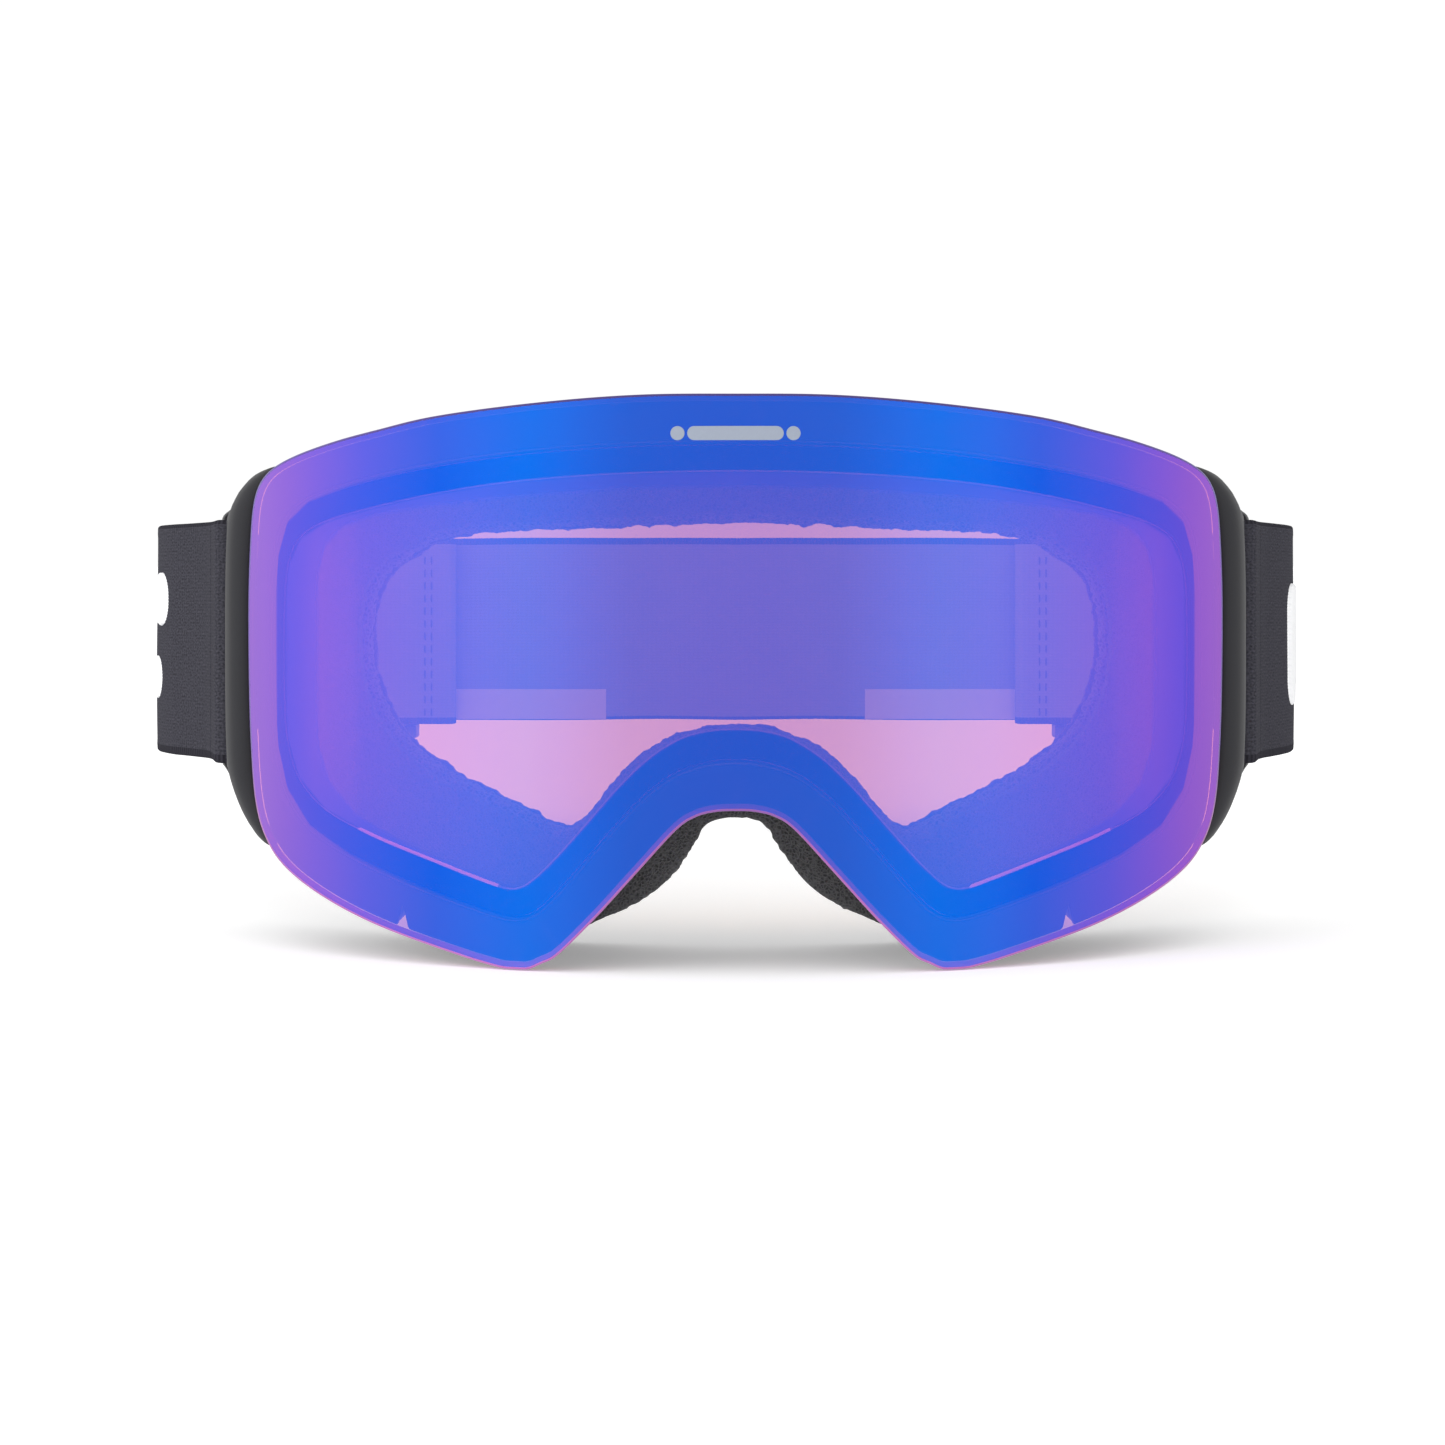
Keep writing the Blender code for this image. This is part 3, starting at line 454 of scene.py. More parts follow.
def block(name, size, centre=(0.0, 0.0, 0.0), rounding=0.0):
    """A box from a size and centre in mm, with the object's Y as it is."""
    work = bmesh.new()
    bmesh.ops.create_cube(work, size=1.0)
    bmesh.ops.scale(work, vec=Vector(size) * MM, verts=work.verts)
    bmesh.ops.translate(work, vec=Vector(centre) * MM, verts=work.verts)
    if rounding:
        bmesh.ops.bevel(work, geom=list(work.edges), offset=rounding * MM, segments=3,
                        profile=0.5, affect="EDGES")
    mesh = bpy.data.meshes.new(name)
    work.to_mesh(mesh)
    work.free()
    return new_object(name, mesh)


def apply_modifiers(obj):
    bpy.context.view_layer.update()
    graph = bpy.context.evaluated_depsgraph_get()
    mesh = bpy.data.meshes.new_from_object(obj.evaluated_get(graph))
    obj.modifiers.clear()
    obj.data = mesh
    return mesh


def cut(target, cutter):
    modifier = target.modifiers.new("boolean", "BOOLEAN")
    modifier.operation = "DIFFERENCE"
    modifier.solver = "EXACT"
    modifier.object = cutter
    apply_modifiers(target)
    bpy.data.objects.remove(cutter, do_unlink=True)


def bevelled(obj, width, segments):
    modifier = obj.modifiers.new("bevel", "BEVEL")
    modifier.width = width * MM
    modifier.segments = segments
    modifier.limit_method = "ANGLE"
    modifier.angle_limit = math.radians(35)
    modifier.use_clamp_overlap = True
    shade(apply_modifiers(obj), sharp=42)


def vertex_vectors(mesh, name):
    values = np.zeros(len(mesh.vertices) * 3)
    mesh.vertices.foreach_get(name, values)
    return values.reshape(-1, 3)


def rough(obj, height):
    """Moves every vertex along its normal by height(x, y, z) in mm."""
    mesh = obj.data
    places, normals = vertex_vectors(mesh, "co"), vertex_vectors(mesh, "normal")
    heights = np.array([height(*p) for p in places / MM])
    places += normals * heights[:, None] * MM
    mesh.vertices.foreach_set("co", places.ravel())
    mesh.update()


def cells(x, y, z, size):
    """0 in the middle of an open cell, 1 on its walls."""
    near = noise.voronoi(Vector((x / size, y / size, z / size)))[0]
    return 1 - min(1.0, 2.2 * (near[1] - near[0]))


def drift(x, y, z, scale):
    return noise.noise(Vector((x, y, z)) * scale)


def use(obj, body, slot, *nodes):
    """Hangs a piece on a moving body and hides the CAD pieces it stands for; slot is not used."""
    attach(obj, body)
    if nodes:
        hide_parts(*nodes)
    return obj


# ------------------------------------------------------------------ materials
class Net:
    """A node tree. Nodes come as their outputs; inputs take values or the sockets to link."""

    def __init__(self, owner, shader="Principled BSDF"):
        owner.use_nodes = True
        self.owner = owner
        self.tree = owner.node_tree
        self.shader = self.tree.nodes[shader]

    def fill(self, node, inputs):
        for key, value in inputs.items():
            if isinstance(value, bpy.types.NodeSocket):
                self.tree.links.new(value, node.inputs[key])
            else:
                node.inputs[key].default_value = value

    def node(self, kind, inputs=None, **settings):
        node = self.tree.nodes.new("ShaderNode" + kind)
        for key, value in settings.items():
            setattr(node, key, value)
        self.fill(node, inputs or {})
        return node.outputs

    def math(self, operation, *values, clamp=False):
        return self.node("Math", dict(enumerate(values)), operation=operation, use_clamp=clamp)[0]

    def mul(self, a, b, clamp=False):
        return self.math("MULTIPLY", a, b, clamp=clamp)

    def add(self, a, b, clamp=False):
        return self.math("ADD", a, b, clamp=clamp)

    def sub(self, a, b):
        return self.math("SUBTRACT", a, b)

    def scale(self, vector, factor):
        return self.node("VectorMath", {0: vector, "Scale": factor}, operation="SCALE")[0]

    def times(self, a, b):
        return self.node("VectorMath", {0: a, 1: b}, operation="MULTIPLY")[0]

    def mix(self, factor, a, b):
        return self.node("Mix", {"Factor": factor, "A": a, "B": b}, data_type="RGBA")["Result"]

    def object_place(self):
        return self.node("TexCoord")["Object"]

    def ramp(self, factor, stops):
        """A colour ramp from stops (place, colour)."""
        node = self.tree.nodes.new("ShaderNodeValToRGB")
        while len(node.color_ramp.elements) < len(stops):
            node.color_ramp.elements.new(0.5)
        for element, (at, colour) in zip(node.color_ramp.elements, stops):
            element.position = at
            element.color = (*colour, 1.0)
        self.fill(node, {0: factor})
        return node.outputs[0]

    def see_through(self, share, colour):
        """Mixes share of the shader with a transparent one of the given colour."""
        clear = self.node("BsdfTransparent", {"Color": colour})[0]
        mixed = self.node("MixShader", {0: share, 1: clear, 2: self.shader.outputs[0]})[0]
        self.fill(self.tree.nodes["Material Output"], {"Surface": mixed})


def pattern(net, kind, size, place):
    """A texture's value: noise, cell, fleck, or wave_ and the axis across its bands."""
    inputs = {"Scale": 1.0 / size, "Vector": place}
    if kind == "noise":
        return net.node("TexNoise", {**inputs, "Detail": 4.0, "Roughness": 0.6})[0]
    if kind == "cell":
        walls = net.node("TexVoronoi", inputs, feature="DISTANCE_TO_EDGE")["Distance"]
        return net.sub(1.0, net.mul(walls, 2.2, clamp=True))
    if kind == "fleck":
        return net.node("TexVoronoi", inputs)["Distance"]
    inputs.update({"Scale": 0.314 / size, "Distortion": 0.35, "Detail": 1.0, "Detail Scale": 1.5})
    return net.node("TexWave", inputs, wave_type="BANDS", bands_direction=kind[-1].upper(),
                    wave_profile="SIN")["Fac"]


def finish(name, roughness, textures, colour=None, tint=None, metallic=0.0, specular=0.5,
           sheen=0.0, uv=False, bump=0.5, depth=0.05, edge=None):
    """A Principled finish whose colour, roughness and relief come from textures.

    textures: (kind, size in mm, weight in the relief, share in the colour)
    tint: stops of a colour that changes with height, in place of colour
    depth: the relief's depth in mm; edge: the colour of sharp convex corners"""
    net = Net(bpy.data.materials.new(name))
    coords = net.node("TexCoord")["UV" if uv else "Object"]
    scale = (10.0 if uv else 1000.0,) * 3
    place = net.node("Mapping", {"Vector": coords, "Scale": scale})["Vector"]
    height = shading = None
    for kind, size, relief, share in textures:
        centred = net.sub(pattern(net, kind, size, place), 0.5)
        if relief:
            part = net.mul(centred, relief)
            height = part if height is None else net.add(height, part)
        if share:
            part = net.mul(centred, share)
            shading = part if shading is None else net.add(shading, part)
    if tint:
        z = net.node("SeparateXYZ", {0: net.object_place()})[2]
        base = net.ramp(net.mul(z, 1000.0 / 93.0, clamp=True), tint)
    else:
        base = net.scale(colour, net.add(shading, 1.0))
    if edge:
        corners = net.sub(net.node("NewGeometry")["Pointiness"], 0.52)
        base = net.mix(net.mul(corners, 12.0, clamp=True), base, (*edge, 1.0))
    inputs = {"Base Color": base,
              "Roughness": net.add(net.mul(shading, 0.1), roughness, clamp=True),
              "Metallic": metallic, "Specular IOR Level": specular,
              "Sheen Weight": sheen, "Sheen Roughness": 0.5}
    if height is not None:
        relief = {"Strength": bump, "Distance": depth * MM, "Height": height}
        inputs["Normal"] = net.node("Bump", relief)[0]
    net.fill(net.shader, inputs)
    return net.owner


SKY_LEVEL = 1.25  # the studio's brightness; the mirror's colours allow for it
MIRROR_SHARE = 0.78  # how much of the lens's look is its mirror coat; the rest is seen through it
# The mirror's colour along the curve: place, over the carrier's rim, over the gasket, inside it.
# Besides the coat's own turn from blue to violet, the columns hold painted light: the lit rim and
# the dark gasket behind the lens, and a dimmer middle where the camera is reflected
COAT_AND_PAINTED_LIGHT_STOPS = [
    (0.0, (0.022, 0.118, 0.72), (0.022, 0.112, 0.72), (0.070, 0.118, 0.72)),
    (0.079, (0.004, 0.165, 0.85), (0.000, 0.165, 0.88), (0.050, 0.155, 0.81)),
    (0.175, (0.035, 0.133, 0.82), (0.004, 0.125, 0.86), (0.10, 0.150, 0.84)),
    (0.281, (0.119, 0.136, 0.87), (0.050, 0.124, 0.90), (0.15, 0.142, 0.87)),
    (0.376, (0.235, 0.147, 0.87), (0.10, 0.122, 0.91), (0.245, 0.146, 0.88)),
    (0.445, (0.323, 0.162, 0.85), (0.14, 0.120, 0.92), (0.205, 0.136, 0.93)),
    (0.505, (0.392, 0.184, 0.86), (0.16, 0.122, 0.92), (0.25, 0.145, 0.92)),
    (0.75, (0.45, 0.20, 0.72), (0.30, 0.16, 0.8), (0.35, 0.18, 0.8))]
# The colour of what is seen through the coat
THROUGH_STOPS = [(0.0, (0.50, 0.215, 0.004)), (0.079, (0.56, 0.265, 0.004)),
                 (0.281, (0.57, 0.275, 0.004)), (0.505, (0.45, 0.16, 0.004))]


def inside_mask(net, half, x, z, soft):
    """1 inside a closed outline and 0 outside, blurred over soft mm.

    Two ramps hold the outline's top and bottom heights at each distance from the centre."""
    full_x, full_z = 90.0, 100.0  # the lengths that 1 stands for in the ramps
    widest = max(range(len(half)), key=lambda i: half[i][0])
    across = net.mul(x, 1.0 / full_x)
    top, low = [net.ramp(across, [(px / full_x, (pz / full_z,) * 3) for px, pz in part])
                for part in (half[:widest + 1], half[widest:][::-1])]
    under = net.mul(net.sub(net.mul(top, full_z), z), 1.0 / soft, clamp=True)
    over = net.mul(net.sub(z, net.mul(low, full_z)), 1.0 / soft, clamp=True)
    beside = net.mul(net.sub(half[widest][0], x), 1.0 / soft, clamp=True)
    return net.mul(net.mul(under, over), beside)


def mirror_material():
    """A coat that turns from blue to violet as it's seen more from the side, warm behind. Its
    colour also holds painted light and shade: the layers behind it, the reflected camera and the
    studio's uneven light.
    """
    net = Net(bpy.data.materials.new("mirror_coat"))
    facing = net.node("LayerWeight", {"Blend": 0.5})["Facing"]
    place = net.object_place()
    xyz = net.node("SeparateXYZ", {0: place})
    # the place along the coat's colours, from the distance from the centre and the view; the
    # distance also puts the painted dimmer middle, the camera's reflection, at the centre
    across = net.mul(net.math("POWER", xyz[0], 2.0), 73.0)
    turn = net.mul(net.add(across, facing), 0.5, clamp=True)
    cloud = net.node("TexNoise", {"Scale": 18.0, "Detail": 2.0, "Vector": place})[0]
    turn = net.add(turn, net.mul(net.sub(cloud, 0.5), 0.03), clamp=True)
    x = net.mul(net.math("ABSOLUTE", xyz[0]), 1000.0)
    z = net.mul(xyz[2], 1000.0)
    # the layers lie behind the lens, so their outlines are seen a little smaller
    nearer = net.mul(x, 1.017)
    painted_gasket_shade = inside_mask(net, INNER_LENS_EDGE, nearer, z, soft=0.5)
    painted_opening_view = inside_mask(net, GASKET_OPENING, nearer, z, soft=0.7)
    deep_z = net.add(net.mul(z, 1.03), -1.84)
    painted_frame_view = inside_mask(net, FRAME_OPENING, net.mul(x, 1.045), deep_z, soft=0.9)
    # painted light and shade: the coat is lighter over the lit carrier rim, deep blue over the dark
    # gasket, lighter violet inside the gasket's opening and less red over the frame's flange
    # outside its opening
    rim, gasket, inner = (
        net.ramp(turn, [(row[0], tuple(c / MIRROR_SHARE / SKY_LEVEL for c in row[k]))
                        for row in COAT_AND_PAINTED_LIGHT_STOPS]) for k in (1, 2, 3))
    inner = net.mix(painted_frame_view, net.times(inner, (0.80, 0.97, 1.05)), inner)
    coat = net.mix(painted_opening_view, net.mix(painted_gasket_shade, rim, gasket), inner)
    # painted shade: warmer and dimmer towards the right edge, where the studio light is weaker
    right = net.mul(net.sub(net.mul(xyz[0], 1000.0), 42.0), 1.0 / 40.0, clamp=True)
    coat = net.times(coat, net.ramp(right, [(0.0, (1.0, 1.0, 1.0)), (1.0, (0.97, 0.70, 0.90))]))
    # painted reflection: brighter towards the top, a little darker towards the lower edge
    light = net.add(net.mul(net.mul(z, 1.0 / 93.0, clamp=True), 0.08), 0.94)
    net.fill(net.shader, {"Base Color": net.scale(coat, light), "Metallic": 1.0,
                          "Roughness": 0.035})
    stops = [(at, tuple(c / (1 - MIRROR_SHARE) for c in colour)) for at, colour in THROUGH_STOPS]
    net.see_through(MIRROR_SHARE, net.ramp(turn, stops))
    return net.owner


def clear_material(name, least, fresnel):
    """Clear plastic: at least the share least is seen, and more by fresnel at grazing angles."""
    net = Net(bpy.data.materials.new(name))
    net.fill(net.shader, {"Base Color": (0.75, 0.62, 0.72, 1.0), "Roughness": 0.12,
                          "Specular IOR Level": 0.6})
    haze = net.node("TexNoise", {"Vector": net.object_place(), "Scale": 30.0, "Detail": 3.0})[0]
    share = net.add(net.mul(haze, 0.02), least)
    grazing = net.node("LayerWeight", {"Blend": 0.25})["Fresnel"]
    share = net.add(share, net.mul(grazing, fresnel), clamp=True)
    net.see_through(share, (0.98, 0.94, 0.96, 1.0))
    return net.owner


MIRROR = mirror_material()
CLEAR = clear_material("clear_lens", least=0.018, fresnel=0.10)
LENS_BACK = clear_material("lens_back", least=0.004, fresnel=0.01)
# painted light: the lens's rim is bright pink along the bottom, as if lit from below, and dark
# towards the top
EDGE = finish(
    "lens_edge", roughness=0.3, textures=[("noise", 3.0, 0.0, 0.35)], specular=0.3,
    tint=[(0.0, (0.48, 0.15, 0.46)), (0.22, (0.36, 0.11, 0.38)), (0.36, (0.15, 0.08, 0.34)),
          (0.85, (0.12, 0.07, 0.34)), (1.0, (0.05, 0.03, 0.16))])
# painted highlight: the clear inner lens's rim is coloured light pink for the light it catches
INNER_EDGE_GLOW = finish(
    "inner_lens_edge_glow", colour=(0.70, 0.34, 0.62), roughness=0.3,
    textures=[("noise", 5.0, 0.0, 0.4)], specular=0.6)
MARK_SILVER = finish(
    "mark_silver", colour=(0.31, 0.35, 0.43), roughness=0.4,
    textures=[("noise", 0.5, 0.3, 0.12)], metallic=0.3, depth=0.01)
FRAME = finish(
    "frame_moulded", colour=(0.020, 0.020, 0.022), roughness=0.5,
    textures=[("noise", 0.45, 1.0, 0.25), ("noise", 9.0, 0.0, 0.3)],
    bump=0.25, depth=0.03, edge=(0.035, 0.035, 0.038))
CARRIER = finish(
    "carrier_moulded", colour=(0.007, 0.007, 0.009), roughness=0.5,
    textures=[("noise", 0.6, 1.0, 0.2), ("noise", 12.0, 0.0, 0.3)],
    bump=0.2, depth=0.03, specular=0.25, edge=(0.02, 0.02, 0.023))
# painted highlights: these colour thin lines that stand for light caught on rims behind the lens;
# the dark one is a faint line and the bright one the low bars
HIGHLIGHT_BEAD = finish(
    "highlight_bead", colour=(0.30, 0.20, 0.28), roughness=0.35,
    textures=[("noise", 6.0, 0.0, 0.5), ("noise", 0.5, 0.3, 0.1)], depth=0.02)
HIGHLIGHT_BEAD_DARK = finish(
    "highlight_bead_dark", colour=(0.10, 0.07, 0.09), roughness=0.35,
    textures=[("noise", 6.0, 0.0, 0.5)])
HIGHLIGHT_BEAD_BRIGHT = finish(
    "seal_bead_bright", colour=(1.0, 0.80, 0.95), roughness=0.3,
    textures=[("noise", 9.0, 0.0, 0.3)])
ARM = finish(
    "arm_soft_touch", colour=(0.0158, 0.0158, 0.0195), roughness=0.5,
    textures=[("noise", 0.22, 1.0, 0.16), ("fleck", 0.5, 0.6, 0.08), ("noise", 14.0, 0.0, 0.2)],
    bump=0.2, depth=0.022, specular=0.3, edge=(0.034, 0.034, 0.038))
ADJUSTER = finish(
    "adjuster_plastic", colour=(0.022, 0.022, 0.025), roughness=0.36,
    textures=[("noise", 0.4, 1.0, 0.15), ("noise", 8.0, 0.0, 0.25)],
    bump=0.2, depth=0.03, edge=(0.05, 0.05, 0.055))
GASKET = finish(
    "gasket_foam", colour=(0.004, 0.004, 0.005), roughness=0.9,
    textures=[("cell", 0.5, 1.0, 0.5), ("noise", 0.2, 0.5, 0.3)], depth=0.12, specular=0.15)
VENT = finish(
    "vent_foam", colour=(0.030, 0.030, 0.032), roughness=0.95,
    textures=[("cell", 0.75, 1.0, 1.2), ("noise", 0.25, 0.4, 0.4)],
    bump=0.9, depth=0.35, specular=0.15)
FOAM_FIRM = finish(
    "foam_firm", colour=(0.10, 0.10, 0.103), roughness=0.95,
    textures=[("cell", 0.6, 1.0, 0.9), ("noise", 0.25, 0.5, 0.5)],
    bump=0.8, depth=0.3, specular=0.2)
FOAM_OPEN = finish(
    "foam_open", colour=(0.14, 0.14, 0.144), roughness=0.95,
    textures=[("cell", 0.9, 1.0, 1.6), ("noise", 0.3, 0.4, 0.9)],
    bump=1.0, depth=0.45, specular=0.2)
FLEECE = finish(
    "fleece_pile", colour=(0.030, 0.030, 0.033), roughness=1.0,
    textures=[("noise", 0.35, 1.0, 0.9), ("noise", 1.6, 1.2, 0.5), ("fleck", 0.3, 0.4, 0.4)],
    bump=0.9, depth=0.4, sheen=0.5, specular=0.1)
WEB = finish(
    "strap_weave", colour=(0.0465, 0.0455, 0.0565), roughness=0.95,
    textures=[("wave_x", 0.8, 0.35, 0.14), ("wave_y", 0.6, 0.5, 0.12),
              ("noise", 0.42, 1.3, 2.6), ("noise", 6.0, 0.0, 0.16)],
    uv=True, depth=0.12, specular=0.04)
SELVEDGE = finish(
    "strap_selvedge", colour=(0.030, 0.029, 0.037), roughness=0.95,
    textures=[("wave_x", 0.8, 1.2, 0.5), ("noise", 0.25, 0.5, 0.5)],
    uv=True, bump=0.8, depth=0.2, specular=0.04)
INNER_WEB = finish(
    "strap_inside", colour=(0.205, 0.200, 0.215), roughness=0.9,
    textures=[("wave_x", 1.15, 0.3, 0.06), ("wave_y", 0.75, 0.5, 0.12),
              ("noise", 0.3, 0.8, 0.5), ("noise", 9.0, 0.0, 0.2)],
    uv=True, bump=0.6, depth=0.14, specular=0.05)
THREAD = finish(
    "sewing_thread", colour=(0.050, 0.049, 0.060), roughness=0.8,
    textures=[("noise", 0.15, 0.6, 0.4)], specular=0.1)
WHITE = finish(
    "white_satin_stitch", colour=(0.93, 0.935, 0.95), roughness=0.5,
    textures=[("noise", 0.3, 0.6, 0.12)], sheen=0.3)
GRIP = finish(
    "silicone_grip", colour=(0.47, 0.46, 0.49), roughness=0.4,
    textures=[("noise", 0.8, 0.4, 0.15)])
MAGNET = finish(
    "nickel_plate", colour=(0.62, 0.60, 0.57), roughness=0.24,
    textures=[("noise", 0.3, 0.3, 0.1), ("noise", 3.0, 0.0, 0.2)], metallic=1.0, depth=0.01)
STEEL = finish(
    "pin_steel_brushed", colour=(0.52, 0.53, 0.55), roughness=0.3,
    textures=[("wave_z", 0.12, 0.4, 0.1), ("noise", 2.0, 0.0, 0.2)], metallic=1.0, depth=0.01)

# ------------------------------------------------------------------ lens unit
lens_line = outline(LENS_EDGE, 0.7)
frame_line = inset(lens_line, 1.2)
inner_line = outline(INNER_LENS_EDGE)
gasket_line = outline(GASKET_OPENING)
opening_line = outline(FRAME_OPENING)
foam_line = outline(FOAM_EDGE)
foam_hole = outline(FOAM_OPENING)

NOTCH_X, NOTCH_TOP, NOTCH_SLOPE = 55.6, 9.4, 5.4 / 1.3
MARK_Z, MARK_R = 86.75, 1.15
MARKS = [(0.0, 6.6), (-9.3, 0.0), (9.3, 0.0)]  # x, half the straight part's length
BEAD_SIDES = 8
# x, z, tilt in degrees, for the right side
MAGNET_PLACES = [(27.0, 88.3, -4.0), (60.0, 84.1, -11.0), (64.5, 11.6, 22.0)]
MAGNET_SIZE = (8.0, 1.3, 3.2)
MAGNET_INSET = 0.67  # from the face of its ring to its middle


def notched(line):
    """The outline with the two V notches in its lower edge."""
    fine = resample(line, 0.35, closed=True)
    out = fine.copy()
    for side in (-1, 1):
        away = np.abs(fine[:, 0] - NOTCH_X * side)
        roof = NOTCH_TOP - away * NOTCH_SLOPE
        low = (fine[:, 1] < 12) & (away < 1.5)
        out[low, 1] = np.maximum(fine[low, 1], roof[low])
    return out


def lens_marks():
    """A long capsule between two dots, near the lens's top edge."""
    parts = []
    for centre, half in MARKS:
        points = []
        for k in range(40):
            angle = 2 * math.pi * k / 40
            x, z = MARK_R * math.cos(angle), MARK_R * math.sin(angle)
            points.append((centre + x + (half if x > 0 else -half), MARK_Z + z))
        line = resample(clockwise(points), 0.25, closed=True)
        parts.append(plate("mark", line, [], lens_y(LENS_R + 0.1), lens_y(LENS_R - 0.2),
                           [MARK_SILVER], front_round=0.08, back_round=0.02, grid=0.9, steps=2))
    use(join("lens_marks", *parts), "lens", "mirror_lens")


def bead(name, line, radius, size, mats, bright_bar_size=0.0):
    """A thin line of painted highlight along an outline on the lens's curve, thicker and brighter
    at its low bars.
    """
    line = resample(line, 0.6, closed=True)
    x = np.abs(line[:, 0])
    # the low bars carry the brightest painted highlight
    bars = (x > 38.5) & (x < 63.5) & (line[:, 1] < 26) & (bright_bar_size > 0)
    inwards = normals_in(line)
    thick = np.where(bars, bright_bar_size, size)
    rows = []
    for k in range(BEAD_SIDES):
        angle = 2 * math.pi * k / BEAD_SIDES
        points = line + inwards * (thick * math.cos(angle))[:, None]
        depth = lens_y(radius)(points[:, 0]) + thick * math.sin(angle)
        rows.append(standing(points[:, 0], points[:, 1], depth))
    verts, faces = lattice(rows)
    index = [int(bars[face[0] % len(line)]) for face in faces]
    use(fix_normals(make(name, verts, faces, mats, index)), "lens", "clear_lens")


def magnets():
    """Plated blocks in pairs: one in the lens's carrier and one in the frame's flange."""
    places = [(side * x, z, tilt * side) for side in (-1, 1) for x, z, tilt in MAGNET_PLACES]
    for number, (x, z, tilt) in enumerate(places, 1):
        for body, radius in (("lens", CARRIER_BACK_R + MAGNET_INSET),
                             ("frame", FLANGE_FRONT_R - MAGNET_INSET)):
            angle = math.asin(x / FLANGE_FRONT_R)
            depth = LENS_R - radius * math.cos(angle) + SHIFT_Y
            centre = Vector((radius * math.sin(angle), depth, z)) * MM
            turn = Matrix.Rotation(angle, 4, "Z") @ Matrix.Rotation(math.radians(-tilt), 4, "Y")
            magnet = block(f"{body}_magnet_plated_{number}", MAGNET_SIZE, rounding=0.28)
            magnet.data.transform(Matrix.Translation(centre) @ turn)
            magnet.data.materials.append(MAGNET)
            shade(magnet.data, sharp=60)
            use(magnet, body, "magnet_metal", f"{body}_magnet_{number}")


lens = plate("lens_mirror", lens_line, [], lens_y(LENS_R), lens_y(LENS_BACK_R),
             [MIRROR, EDGE, LENS_BACK], front_round=0.4, back_round=1.0, steps=5,
             rim_index=1, back_index=2)
use(lens, "lens", "mirror_lens", "outer_lens")
lens_marks()
gasket_ring = plate("lens_gasket_foam", inset(inner_line, 0.4), [gasket_line],
                    lens_y(CARRIER_FRONT_R), lens_y(CARRIER_FRONT_R - 3.0), [GASKET],
                    front_round=0.4, back_round=0.4)
use(gasket_ring, "lens", "black_foam", "lens_gasket")
inner_lens = plate("lens_inner_clear", inner_line, [], lens_y(INNER_LENS_R),
                   lens_y(INNER_LENS_R - 1.0), [CLEAR, INNER_EDGE_GLOW],
                   front_round=0.2, back_round=0.2, grid=4.0, rim_index=1)
use(inner_lens, "lens", "clear_lens", "inner_lens")
carrier_ring = plate("lens_carrier_ring", notched(inset(lens_line, 0.95)),
                     [inset(inner_line, -0.5)], lens_y(CARRIER_FRONT_R),
                     lens_y(CARRIER_BACK_R), [CARRIER], back_round=0.4)
use(carrier_ring, "lens", "frame_plastic", "lens_carrier")
# painted highlights: thin light lines along the gasket's opening and just outside the inner lens's
# edge
bead("highlight_bead_inner", inset(gasket_line, 0.1), CARRIER_FRONT_R - 0.9, size=0.17,
     mats=[HIGHLIGHT_BEAD, HIGHLIGHT_BEAD_BRIGHT], bright_bar_size=0.44)
bead("highlight_bead_outer", inset(inner_line, -0.35), CARRIER_FRONT_R - 0.5, size=0.09,
     mats=[HIGHLIGHT_BEAD_DARK])
magnets()

# ------------------------------------------------------------------ frame
WALL_T, WALL_ROUND = 2.6, 0.6
# Vent slots through the wall, on the right: x, y, lowest z, highest z, width, height in plan
VENT_SLOTS = [(9.5, 14.0, 80, 96, 13.0, 5.0), (28.5, 17.6, 80, 96, 13.0, 5.0),
              (47.0, 25.2, 80, 96, 13.0, 5.0), (46.0, 25.0, -2, 10, 11.0, 4.4),
              (68.0, 37.2, 4, 16, 11.0, 4.4)]
VENT_TURN_R = 114.0
PIN_X, PIN_Y = 87.2, 52.0
LUG_R, LUG_BORE, LUG_WEB = 2.2, 1.4, 1.8  # LUG_WEB is half the web's thickness
# (radius, z) up the hinge pin
PIN_PROFILE = [(0.0, 35.55), (0.5, 35.6), (0.85, 35.8), (1.05, 36.1), (1.08, 36.6), (1.08, 67.7),
               (1.05, 68.2), (0.85, 68.5), (0.5, 68.7), (0.0, 68.75)]
PIN_SIDES = 32


